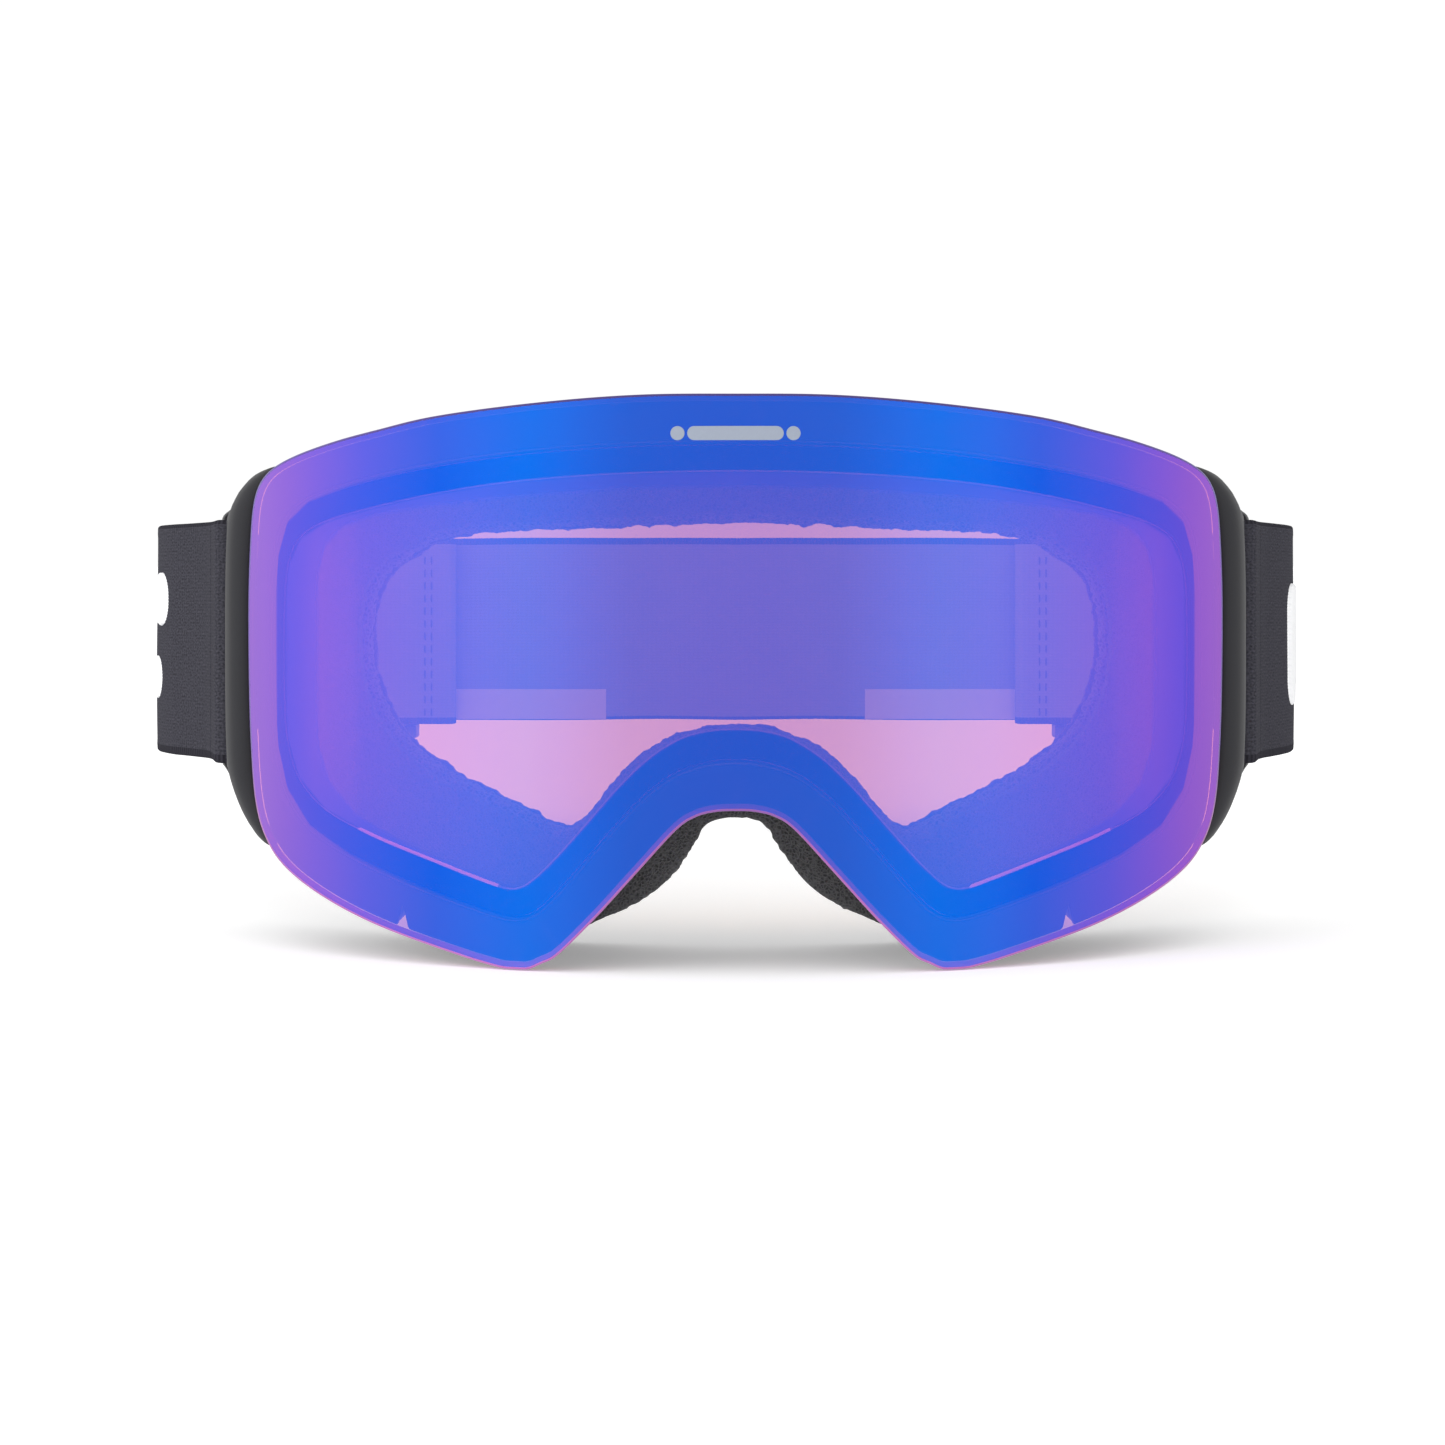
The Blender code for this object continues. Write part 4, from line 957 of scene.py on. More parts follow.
def frame_wall():
    """The band round the frame from front to back, with its vent slots."""
    outer = notched(frame_line)
    inwards = normals_in(outer)
    front, back = lens_y(FLANGE_FRONT_R)(outer[:, 0]), face_y(0.0)(outer[:, 0])

    def row(distance, y):
        points = outer + inwards * distance
        return standing(points[:, 0], points[:, 1], y)

    rounding = ((WALL_ROUND, 0.0), (0.18, 0.18), (0.0, WALL_ROUND))
    rows = [row(distance, front + depth) for distance, depth in rounding]
    rows += [row(0.0, front + WALL_ROUND + (back - front - 2 * WALL_ROUND) * t)
             for t in np.linspace(0.08, 0.92, 13)]
    rows += [row(distance, back - depth) for distance, depth in reversed(rounding)]
    rows += [row(WALL_T, front + (back - front) * t) for t in (1.0, 0.66, 0.33, 0.0)]
    verts, faces = lattice(rows)
    wall = fix_normals(make("frame_wall", verts, faces, [FRAME], sharp=40))
    for x, y, z0, z1, width, height in VENT_SLOTS:
        for side in (-1, 1):
            angle = math.asin(x / VENT_TURN_R) * side
            line = rounded_box_line(-width / 2, width / 2, -height / 2, height / 2, height * 0.42)
            cos, sin = math.cos(angle), math.sin(angle)
            line = np.column_stack([line[:, 0] * cos - line[:, 1] * sin + x * side,
                                    line[:, 0] * sin + line[:, 1] * cos + y])
            cut(wall, extruded("vent_cut", line, z0, z1))
    shade(wall.data, sharp=40)
    return wall


def lug(x, z0, z1, web_to, mat):
    """A hinge knuckle: a tube round the pin with a web to the piece it belongs to."""
    side = 1 if web_to > x else -1
    opening = math.asin(LUG_WEB / LUG_R)
    outer = [(LUG_R * math.cos(t) * -side, LUG_R * math.sin(t))
             for t in np.linspace(-math.pi + opening, math.pi - opening, 34)]
    outer += [(web_to - x, LUG_WEB), (web_to - x, -LUG_WEB)]
    outer = clockwise([(x + px, PIN_Y + py) for px, py in outer])
    hole = clockwise([(x + LUG_BORE * math.cos(t), PIN_Y + LUG_BORE * math.sin(t))
                      for t in np.linspace(0, 2 * math.pi, 28, endpoint=False)])
    return plate("lug", resample(outer, 0.4, closed=True), [hole], flat_at(z1), flat_at(z0),
                 [mat], front_round=0.25, back_round=0.25, grid=1.2, place=level)


def frame_moulding():
    wall = frame_wall()
    flange = plate("front_flange", notched(inset(lens_line, 1.9)), [inset(inner_line, -0.5)],
                   lens_y(FLANGE_FRONT_R - 0.02), lens_y(FLANGE_BACK_R), [FRAME], grid=4.0,
                   steps=2)
    back = plate("back_flange", inset(frame_line, 0.7), [opening_line], face_y(-2.0),
                 face_y(-0.02), [FRAME], front_round=0.5, back_round=0.5)
    lugs = [lug(PIN_X * side, z0, z1, (PIN_X - 4.7) * side, FRAME)
            for side in (-1, 1) for z0, z1 in ((37.0, 42.0), (62.3, 67.3))]
    moulding = join("frame_moulding", wall, flange, back, *lugs)
    use(moulding, "frame", "frame_plastic", "frame_shell")


def vent_strip(name, node, keep):
    """A thin strip of open-cell foam behind the vents, following the frame's wall."""
    line = inset(frame_line, 3.4, 0.9)
    inwards = normals_in(line)
    kept = keep(line[:, 0], line[:, 1])
    start = np.where(kept & ~np.roll(kept, 1))[0][0]
    order = [(start + i) % len(line) for i in range(int(kept.sum()))]
    points, inwards = line[order], inwards[order]
    x = points[:, 0]
    front, back = lens_y(FLANGE_BACK_R - GAP - 0.05)(x), face_y(-2.35)(x)
    rows = []
    for distance, shares in ((0.0, np.linspace(0.0, 1.0, 15)), (1.3, np.linspace(1.0, 0.0, 15))):
        for share in shares:
            rows.append(standing(x + inwards[:, 0] * distance,
                                 points[:, 1] + inwards[:, 1] * distance,
                                 front + (back - front) * share))
    verts, faces = lattice(rows, closed_cols=False, caps=True)
    strip = fix_normals(make(name, verts, faces, [VENT]))
    rough(strip, lambda x, y, z: (0.16 * (cells(x, y, z, 1.1) - 0.5)
                                  + 0.10 * drift(x, y, z, 0.9) - 0.05))
    use(strip, "frame", "black_foam", node)


def hinge_pin(side, word):
    angles = np.linspace(0, 2 * math.pi, PIN_SIDES, endpoint=False)
    rows = []
    for radius, z in PIN_PROFILE:
        radius = max(radius, 0.001)
        rows.append(level(PIN_X * side + radius * np.cos(angles), PIN_Y + radius * np.sin(angles),
                          np.full(PIN_SIDES, z)))
    verts, faces = lattice(rows, closed_rows=False)
    pin = fix_normals(make(f"hinge_pin_turned_{word}", verts, faces, [STEEL], sharp=60))
    use(pin, "frame", "pin_steel", f"hinge_pin_{word}")


frame_moulding()
vent_strip("vent_mesh_top", "vent_foam_top", lambda x, z: (np.abs(x) < 56.5) & (z > 60))
vent_strip("vent_mesh_low_right", "vent_foam_lower_right",
           lambda x, z: (x > 39.4) & (x < 75.5) & (z < 25))
vent_strip("vent_mesh_low_left", "vent_foam_lower_left",
           lambda x, z: (x < -39.4) & (x > -75.5) & (z < 25))
for side, word in SIDES:
    hinge_pin(side, word)

# ------------------------------------------------------------------ face foam
PUFF_VOXEL = 1.15
PUFF_FRAMES = 14
PUFF_CAP = 0.9  # most vertices move less than this


def remade(obj):
    """Applies the object's modifiers and keeps its finishes."""
    finishes = list(obj.data.materials)
    mesh = apply_modifiers(obj)
    mesh.materials.clear()
    for mat in finishes:
        mesh.materials.append(mat)
    mesh.polygons.foreach_set("material_index", [0] * len(mesh.polygons))
    mesh.shade_smooth()
    return mesh


def puffed(obj, bonded):
    """Cloth simulation of a padded layer: held at its bonded surface, blown up elsewhere."""
    remesh = obj.modifiers.new("remesh", "REMESH")
    remesh.mode = "VOXEL"
    remesh.voxel_size = PUFF_VOXEL * MM
    mesh = remade(obj)
    rest = vertex_vectors(mesh, "co")
    depth = rest[:, 1] / MM - SHIFT_Y - bonded(rest[:, 0] / MM)
    held = obj.vertex_groups.new(name="bonded")
    held.add([int(i) for i in np.nonzero(depth < 0.7)[0]], 1.0, "REPLACE")
    cloth = obj.modifiers.new("cloth", "CLOTH")
    settings = cloth.settings
    settings.quality = 5
    settings.mass = 0.3
    settings.use_pressure = True
    settings.uniform_pressure_force = 4.0
    settings.effector_weights.gravity = 0.0
    settings.vertex_group_mass = "bonded"
    cloth.collision_settings.use_collision = False
    cloth.collision_settings.use_self_collision = False
    cloth.point_cache.frame_start = 1
    cloth.point_cache.frame_end = PUFF_FRAMES
    for number in range(1, PUFF_FRAMES + 1):
        scene.frame_set(number)
    blown = obj.evaluated_get(bpy.context.evaluated_depsgraph_get())
    moved = vertex_vectors(blown.to_mesh(), "co").copy()
    blown.to_mesh_clear()
    obj.modifiers.clear()
    scene.frame_set(1)
    # the moves are scaled to the cap, and the longest ones cut short
    move = np.nan_to_num(moved - rest)
    length = np.linalg.norm(move, axis=1) / MM
    reach = max(1e-6, float(np.percentile(length, 97)))
    move *= PUFF_CAP / reach
    length *= PUFF_CAP / reach
    move *= np.minimum(1.0, 1.25 * PUFF_CAP / np.maximum(length, 1e-6))[:, None]
    mesh.vertices.foreach_set("co", (rest + move).ravel())
    mesh.update()
    subdivision = obj.modifiers.new("sub", "SUBSURF")
    subdivision.levels = subdivision.render_levels = 1
    remade(obj)
    obj.vertex_groups.clear()


def pad(name, node, mat, hole_inset, front, back, crown, height, rounding, fleece=False):
    """A layer between two depths from the face curve, crowned at its rims, with a ragged hole."""
    hole = inset(foam_hole, hole_inset) if hole_inset else foam_hole
    outer = resample(foam_line, 0.75, closed=True)
    hole = resample(hole, 0.75, closed=True)
    ragged = np.array([0.46 * noise.noise(Vector((x * 1.7, front, z * 1.7)))
                       + 0.14 * noise.noise(Vector((x * 0.5, front + 9.0, z * 0.5)))
                       for x, z in hole])
    hole = hole + normals_in(hole) * (ragged * (1.5 if fleece else 1.0))[:, None]
    rows = max(1, int((back - front - 2 * rounding) / 0.8))
    obj = plate(name, outer, [hole], face_y(front), face_y(back), [mat], front_round=rounding,
                back_round=rounding, grid=1.5, wall_rows=rows, bulge=crown)
    if obj.data.has_custom_normals:
        with bpy.context.temp_override(object=obj, active_object=obj):
            bpy.ops.mesh.customdata_custom_splitnormals_clear()
    if fleece:
        puffed(obj, face_y(front))
    rough(obj, height)
    obj.data.shade_smooth()
    use(obj, "frame", "fleece" if fleece else "black_foam", node)


def open_cells(x, y, z):
    return (0.50 * (cells(x, y, z, 1.7) - 0.45) + 0.34 * drift(x, y, z, 1.5)
            + 0.30 * drift(x, y, z, 0.12) - 0.12)


def firm_cells(x, y, z):
    return 0.16 * (cells(x, y, z, 1.3) - 0.45) + 0.10 * drift(x, y, z, 0.9) - 0.06


def pile(x, y, z):
    return (0.22 * drift(x, y, z, 1.6) + 0.10 * drift(x, y, z, 0.55)
            + 0.24 * drift(x, y, z, 0.10) - 0.1)


pad("foam_firm_layer", "face_foam_base", FOAM_FIRM, hole_inset=-1.6, front=0.3, back=5.0,
    crown=0.1, height=firm_cells, rounding=0.7)
pad("foam_open_layer", "face_foam_soft", FOAM_OPEN, hole_inset=-0.8, front=5.25, back=13.05,
    crown=0.45, height=open_cells, rounding=1.5)
pad("fleece_layer", "face_fleece", FLEECE, hole_inset=0.0, front=13.2, back=15.8,
    crown=0.2, height=pile, rounding=0.9, fleece=True)

# ------------------------------------------------------------------ side arms
LIP_X, FULL_X, ARM_REAR_X = 86.05, 92.5, 96.1
# The right arm's section seen from above: (x, y) from its lip beside the lens to its rear edge
ARM_SECTION = [(LIP_X, 47.1), (87.3, 46.75), (88.6, 46.95), (89.8, 47.8), (90.8, 49.3),
               (91.6, 51.3), (92.2, 54.0), (92.8, 57.6), (93.6, 62.0), (94.9, 67.0),
               (ARM_REAR_X, 71.2)]
# (z, x of the lip, x of the full width)
ARM_ROWS = [
    (14.8, 79.2, 83.7), (16.0, 80.3, 85.1), (17.6, 81.6, 86.6), (19.7, 82.85, 88.1),
    (21.2, 83.45, 89.0), (22.6, 83.95, 89.7), (24.0, 84.3, 90.3), (25.5, 84.65, 90.9),
    (27.0, 84.85, 91.4), (28.4, 85.05, 91.8), (29.3, 85.15, 91.95), (31.0, 85.3, 92.2),
    (36.0, 85.6, 92.4), (44.0, 85.95, 92.5), (52.0, 86.05, 92.5), (60.0, 86.05, 92.5),
    (67.0, 85.85, 92.4), (72.0, 85.5, 92.2), (75.2, 85.15, 91.8), (76.8, 84.9, 91.3),
    (78.2, 84.5, 90.6), (79.4, 84.0, 89.9), (80.5, 83.3, 89.0), (81.6, 82.3, 88.0),
    (82.6, 81.0, 86.7), (83.5, 79.6, 85.0), (84.2, 78.6, 83.4)]
# The arm's outline: its front as (distance along the section, z), its rear as (y, z)
ARM_FRONT_LOW = [(0.0, 17.0), (1.6, 16.2), (3.6, 15.8), (5.6, 16.1)]
ARM_REAR_EDGE = [(51.0, 17.4), (53.5, 19.2), (57.0, 22.7), (61.0, 25.4), (66.0, 26.4),
                 (70.0, 26.6), (71.0, 27.8), (71.0, 76.5), (70.0, 77.7), (66.0, 77.9),
                 (61.0, 78.8), (57.0, 80.6), (53.5, 82.2), (51.0, 83.0)]
ARM_FRONT_HIGH = [(5.6, 83.6), (3.6, 83.9), (1.6, 83.4), (0.0, 82.6)]

skin = resample(catmull(ARM_SECTION, 12), 0.2)
skin_along = distances(skin)
skin_tangent = unit(np.gradient(skin, axis=0))
skin_in = np.column_stack([-skin_tangent[:, 1], skin_tangent[:, 0]])  # towards the head
# ARM_ROWS with the x of the rear edge added
row_line = catmull([(z, lip, full, ARM_REAR_X + (0 if 29.0 < z < 75.4 else (full - 92.1) * 2.0))
                    for z, lip, full in ARM_ROWS], 8)


def along_at(y):
    """The distance along the arm's section at a depth y, past its front bend."""
    past = skin[:, 1] > 47.6
    return np.interp(y, skin[past, 1], skin_along[past])


def arm_place(side):
    """Places (distance along the section, z, depth inwards) on an arm."""
    def place(u, v, depth):
        x, y = (np.interp(u, skin_along, column) for column in skin.T)
        in_x, in_y = (np.interp(u, skin_along, column) for column in skin_in.T)
        lip, full, rear = (np.interp(v, row_line[:, 0], row_line[:, k]) for k in (1, 2, 3))
        share = np.clip((x - FULL_X) / 1.4, 0.0, 1.0)
        front_shift = lip + (x - LIP_X) * (full - lip) / (FULL_X - LIP_X) - x
        rear_shift = (full - FULL_X) * (1 - share) + (rear - ARM_REAR_X) * share
        placed = x + in_x * depth + np.where(x <= FULL_X, front_shift, rear_shift)
        return np.column_stack([placed * side, y + in_y * depth, v])
    return place


def side_arm(side, word):
    shell = plate("arm", side_line, [slot_line], flat_at(0.0), flat_at(1.8), [ARM],
                  front_round=0.6, back_round=0.4, grid=1.1, steps=4, place=arm_place(side))
    knuckle = lug(PIN_X * side, 42.35, 61.95, (PIN_X + 3.4) * side, ARM)
    arm = join(f"side_arm_moulded_{word}", shell, knuckle)
    use(arm, f"arm_{word}", "arm_plastic", f"side_arm_{word}")


side_line = ARM_FRONT_LOW + [(along_at(y), z) for y, z in ARM_REAR_EDGE] + ARM_FRONT_HIGH
side_line = resample(np.array(side_line), 0.6, closed=True)
# the corners are eased
for _ in range(3):
    side_line = (np.roll(side_line, 1, 0) + 2 * side_line + np.roll(side_line, -1, 0)) / 4
side_line = clockwise(side_line)
slot_line = rounded_box_line(along_at(61.6), along_at(66.4), STRAP_Z - 23.6, STRAP_Z + 23.6, 1.0)
slot_line = resample(slot_line, 0.5, closed=True)
for side, word in SIDES:
    side_arm(side, word)

# ------------------------------------------------------------------ strap lines
# Plan lines (x, y) are for the right side; the left is mirrored.
Z0, Z1 = STRAP_Z - STRAP_H / 2, STRAP_Z + STRAP_H / 2
REAR_Y, REAR_X = 229.8, 95.8  # the strap's straight back and where it starts to bend
WEB_T = 1.6
ARM_T, LOOP_T = 2.3, 1.4
WEB_SIDE = [(99.6, 229.1), (103.0, 226.8), (105.6, 222.6), (107.7, 216.4), (109.6, 207.0),
            (111.2, 193), (112.4, 174), (113.0, 152), (113.1, 133), (112.6, 118), (111.0, 106.0),
            (107.8, 95.0), (103.6, 86.0), (100.3, 80.0)]
ARM_TAIL = np.array([(93.6, 62.0), (94.9, 67.0), (96.1, 71.2)])  # the arm's outside at its rear

along_arm = ARM_TAIL[2] - ARM_TAIL[0]
along_arm /= np.linalg.norm(along_arm)
across_arm = np.array([along_arm[1], -along_arm[0]])
bar_mid = ARM_TAIL[1] - across_arm * (ARM_T / 2) + along_arm * 1.7
leg_offset = ARM_T / 2 + 0.4 + LOOP_T / 2
leg_out_end = bar_mid + across_arm * leg_offset + along_arm * 6.6
leg_in_end = bar_mid - across_arm * leg_offset + along_arm * 6.6
loop_front = bar_mid - along_arm * 2.3
web_end = leg_out_end + along_arm * 0.45


def line_normals(line):
    """Unit normals away from the head, for a line that runs from the back to the arm."""
    tangent = unit(np.gradient(line, axis=0))
    return np.column_stack([-tangent[:, 1], tangent[:, 0]])


web_right = catmull([(REAR_X - 6, REAR_Y), (REAR_X, REAR_Y)] + WEB_SIDE
                    + [tuple(web_end), tuple(web_end + along_arm * 3)])[10:-10]
web_right = resample(np.vstack([[(0.0, REAR_Y)], web_right]), 1.0)
web_along = distances(web_right)
return_line = web_right - line_normals(web_right) * (WEB_T + 0.4)
return_line = return_line[((return_line[:, 0] > 97.0) | (return_line[:, 1] < 226.0))
                          & (return_line[:, 1] > 85.0)]
return_end = leg_in_end + along_arm * 0.3

# The sewn fold round the adjuster's bar: depths of its two legs from the strap's back
FOLD_OUTER, FOLD_INNER = -1.95, -5.25
FOLD_X = 71.0
# The adjuster: its ends along X, and its inner and outer faces from the strap's back
SLIDER_X0, SLIDER_X1, SLIDER_IN, SLIDER_OUT = 78.6, 94.6, -4.3, 2.95
SLIDER_HALF_H, SLIDER_SLOT_HALF_H = 26.9, 23.7


def side_path(path, side):
    """The strap hangs a little wider on the left."""
    out = path.copy()
    if side < 0:
        y = path[:, 1]
        out[:, 0] += 4.0 * np.exp(-((y - 106.0) / 24.0) ** 2) * np.clip((y - 79.0) / 12.0, 0, 1)
    return out


def mirror_x(verts, side):
    out = np.array(verts, float)
    out[:, 0] *= side
    return out


def strap_point(x, y, side):
    return Vector((x * side * MM, (y + SHIFT_Y) * MM, STRAP_Z * MM))


def arm_bend(obj, side, word):
    """Bakes the piece's placement into its mesh."""
    strap_point(110.0, 150.0, side)
    strap_point(100.5, 81.5, side)
    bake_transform(obj)


# ------------------------------------------------------------------ strap pieces
WEB_MATS = [WEB, SELVEDGE, INNER_WEB]
WEB_COLUMNS = 56
WAVE = 0.16  # how far a loose web wanders in and out
CORD_W = 1.1
STITCH_L, STITCH_GAP, STITCH_W = 2.0, 1.1, 0.42
STITCH_RINGS, STITCH_SIDES = 7, 6


def edge_drop(along, share):
    """A loose web's edges wander up and down a little, but not at its ends."""
    ease = np.clip((along.max() - along) / 25.0, 0, 1)
    wander = 0.16 * np.sin(along / 23.0 + 1.0) + 0.10 * np.sin(along / 9.0 + 2.0 * share)
    return wander * ease * np.clip(along / 20.0, 0, 1)


def ribbon(name, line, thick, z0, z1, mats, side, ridges=True, loose=False, normals=None,
           start=0.0):
    """A strip of woven elastic along a plan line, with corded edges and rounded rims.

    mats: outer face, edge cords, inner face. start: the distance its UVs count from."""
    line = np.array(line)
    normals = line_normals(line) if normals is None else normals
    along = distances(line) + start
    height = z1 - z0
    cord = CORD_W / height

    def ridge(share):
        edge = min(share, 1 - share) * height
        if not ridges:
            return 0.0
        if edge < 2 * CORD_W:
            return 0.07 * (0.5 - 0.5 * math.cos(2 * math.pi * edge / CORD_W)) - 0.03
        return -0.01

    # the section's ring: (share of the height, offset from the line, material)
    shares = np.linspace(0, 1, WEB_COLUMNS)[1:-1]
    rim = 0.38 * thick / height
    ring = [(v, thick / 2 + ridge(v), 0 if cord < v < 1 - cord else 1) for v in shares]
    ring += [(1.0 - rim * (1 - math.cos(a)), thick / 2 * math.sin(a), 1)
             for a in np.linspace(1.25, -1.25, 5)]
    ring += [(v, -thick / 2 - ridge(v), 2 if cord < v < 1 - cord else 1) for v in shares[::-1]]
    ring += [(rim * (1 - math.cos(a)), thick / 2 * math.sin(a), 1)
             for a in np.linspace(-1.25, 1.25, 5)]
    rows, uvs = [], []
    for share, level_off, _ in ring:
        offset = np.full(len(line), level_off)
        z = np.full(len(line), z0 + share * height)
        if loose:
            offset = (offset + WAVE * np.sin(along / 17.0 + share * 2.1) * np.sin(math.pi * share)
                      + 0.5 * WAVE * np.sin(along / 7.3 + 1.1 + share * 5.0))
            ease = np.clip(np.minimum(along - along[0], along[-1] - along) / 12.0, 0, 1)
            offset = level_off + (offset - level_off) * ease
            z = z + edge_drop(along, share)
        points = line + normals * offset[:, None]
        rows.append(level(points[:, 0], points[:, 1], z))
        uvs.append(np.column_stack([along / 10.0, np.full(len(line), share * height / 10.0)]))
    verts, faces = lattice(rows, closed_cols=False, caps=True)
    index = [ring[face[0] // len(line)][2] for face in faces[:-2]] + [1, 1]
    obj = make(name, mirror_x(verts, side), faces, mats, index, uv=np.vstack(uvs), sharp=75)
    return fix_normals(obj)


def stitches(name, seams, side):
    """Upright rows of small twisted threads. seams: (x, y, outward normal, lowest z, highest z)"""
    verts, faces = [], []
    for x, y, normal, low, high in seams:
        outwards = np.array([*normal, 0.0])
        sideways = np.cross((0.0, 0.0, 1.0), outwards)
        at = STITCH_GAP / 2
        while at + STITCH_L < high - low:
            base = len(verts)
            for i in range(STITCH_RINGS):
                share = i / (STITCH_RINGS - 1)
                centre = np.array([x, y, low + at + STITCH_L * share])
                swell = 0.45 + 0.55 * math.sin(math.pi * (0.12 + 0.76 * share))
                radius = STITCH_W / 2 * swell
                lift = -0.16 + 0.30 * math.sin(math.pi * share)
                for k in range(STITCH_SIDES):
                    angle = 2 * math.pi * k / STITCH_SIDES + share * 1.2
                    verts.append(centre + outwards * (lift + radius * 0.8 * math.sin(angle))
                                 + sideways * (radius * math.cos(angle)))
            for i in range(STITCH_RINGS - 1):
                ring = base + i * STITCH_SIDES
                for k in range(STITCH_SIDES):
                    k2 = (k + 1) % STITCH_SIDES
                    faces.append((ring + k, ring + k2, ring + STITCH_SIDES + k2,
                                  ring + STITCH_SIDES + k))
            last = base + (STITCH_RINGS - 1) * STITCH_SIDES
            faces.append(tuple(base + k for k in range(STITCH_SIDES)))
            faces.append(tuple(last + k for k in reversed(range(STITCH_SIDES))))
            at += STITCH_L + STITCH_GAP
    return fix_normals(make(name, mirror_x(verts, side), faces, [THREAD]))


def outer_web(side, word):
    """Half of the strap's outer layer, from the middle of the back to the arm."""
    web = ribbon(f"strap_web_half_{word}", side_path(web_right, side), WEB_T, Z0, Z1, WEB_MATS,
                 side, loose=True)
    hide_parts("strap_web")
    arm_bend(web, side, word)


def return_web(side, word):
    """The inner layer: one piece from the corner to the arm, one from the corner to the fold."""
    tail = catmull([return_line[-6], return_line[-1], return_end + along_arm * 3.2, return_end,
                    return_end - along_arm * 2], 8)[8:-8]
    path = resample(np.vstack([return_line[:-1], tail]), 1.0)
    flank = ribbon(f"strap_return_side_{word}", side_path(path, side), WEB_T, Z0 + 0.1, Z1 - 0.1,
                   WEB_MATS, side)
    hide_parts(f"strap_return_{word}")
    arm_bend(flank, side, word)
    depth = REAR_Y + FOLD_OUTER
    path = resample(np.array([(74.0, depth), (90.0, depth), return_line[0]]), 0.8)
    rear = ribbon(f"strap_return_back_{word}", path, 1.5, Z0 - 0.5, Z1 - 0.5, WEB_MATS, side)
    strap_point(96.5, REAR_Y, side)
    strap_point(76.5, REAR_Y, side)
    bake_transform(rear)


def arm_loop(side, word):
    """The sewn loop round the arm's bar."""
    line = [leg_out_end + along_arm * 1.2, leg_out_end - along_arm * 4.4]
    for k in range(17):
        turn = math.pi * k / 16
        line.append(loop_front + across_arm * (leg_offset * math.cos(turn))
                    - along_arm * (leg_offset * 0.9 * math.sin(turn)))
    line += [leg_in_end - along_arm * 4.4, leg_in_end]
    loop = ribbon(f"strap_loop_woven_{word}", resample(np.array(line), 0.5), LOOP_T + 0.12, Z0, Z1,
                  WEB_MATS, side, start=web_along[-1])
    seams = []
    for back in (1.6, 3.4):
        x, y = leg_in_end - along_arm * back - across_arm * (LOOP_T / 2 + 0.06)
        seams.append((x, y, -across_arm, Z0 + 1.5, Z1 - 1.5))
    sewn = stitches(f"loop_stitching_{word}", seams, side)
    use(loop, f"arm_{word}", "webbing", f"strap_loop_{word}")
    use(sewn, f"arm_{word}", "webbing")


def adjuster(side, word):
    """The strap's slider: a box with a channel through it and openings to both faces."""
    def bar(x0, x1, y0, y1, half_h):
        return block("bar", (x1 - x0, y1 - y0, 2 * half_h),
                     ((x0 + x1) / 2 * side, REAR_Y + (y0 + y1) / 2 + SHIFT_Y, STRAP_Z))

    slider = bar(SLIDER_X0, SLIDER_X1, SLIDER_IN, SLIDER_OUT, SLIDER_HALF_H)
    for x0, x1, y0, y1 in (
            (SLIDER_X0 - 2, SLIDER_X1 + 2, SLIDER_IN + 1.65, SLIDER_OUT - 1.75),
            (SLIDER_X0 + 3.6, SLIDER_X1 - 3.6, SLIDER_OUT - 3, SLIDER_OUT + 2),
            (SLIDER_X0 - 2, SLIDER_X0 + 5.8, SLIDER_IN - 2, SLIDER_IN + 2.5),
            (SLIDER_X1 - 5.8, SLIDER_X1 + 2, SLIDER_IN - 2, SLIDER_IN + 2.5)):
        cut(slider, bar(x0, x1, y0, y1, SLIDER_SLOT_HALF_H))
    bevelled(slider, width=0.55, segments=3)
    slider.data.materials.clear()
    slider.data.materials.append(ADJUSTER)
    slider.name = f"adjuster_moulded_{word}"
    use(slider, f"slider_{word}", "arm_plastic", f"strap_slider_{word}")


def adjuster_fold(side, word):
    """The sewn fold inside the strap's back; it turns beside the adjuster."""
    radius = (FOLD_OUTER - FOLD_INNER) / 2
    line = [(82.0, REAR_Y + FOLD_OUTER)]
    for k in range(15):
        turn = math.pi * k / 14
        line.append((FOLD_X - radius * math.sin(turn),
                     REAR_Y + (FOLD_OUTER + FOLD_INNER) / 2 + radius * math.cos(turn)))
    line.append((96.0, REAR_Y + FOLD_INNER))
    line = resample(np.array(line), 0.6)
    fold = ribbon(f"strap_fold_woven_{word}", line, 1.2, Z0 - 0.8, Z1 - 0.8,
                  [INNER_WEB, SELVEDGE, WEB], side, normals=-line_normals(line))
    seams = [(x, REAR_Y + FOLD_INNER - 0.66, (0.0, -1.0), Z0 + 0.6, Z1 - 2.2)
             for x in (74.6, 76.2, 91.5, 94.3)]
    sewn = stitches(f"fold_stitching_{word}", seams, side)
    use(fold, f"slider_{word}", "webbing", f"strap_fold_{word}")
    use(sewn, f"slider_{word}", "webbing")


def grip(side, word):
    """A flat silicone strip on the inside of the strap's back."""
    depth = REAR_Y - WEB_T / 2 - 0.09
    path = resample(np.array([(32.0, depth), (83.0, depth)]), 0.8)
    strip = ribbon(f"grip_strip_{word}", path, 0.24, 29.9, 37.3, [GRIP] * 3, side, ridges=False)
    use(strip, "frame", "webbing")


for side, word in SIDES:
    outer_web(side, word)
    return_web(side, word)
    arm_loop(side, word)
    adjuster(side, word)
    adjuster_fold(side, word)
for side, word in SIDES:
    grip(side, word)

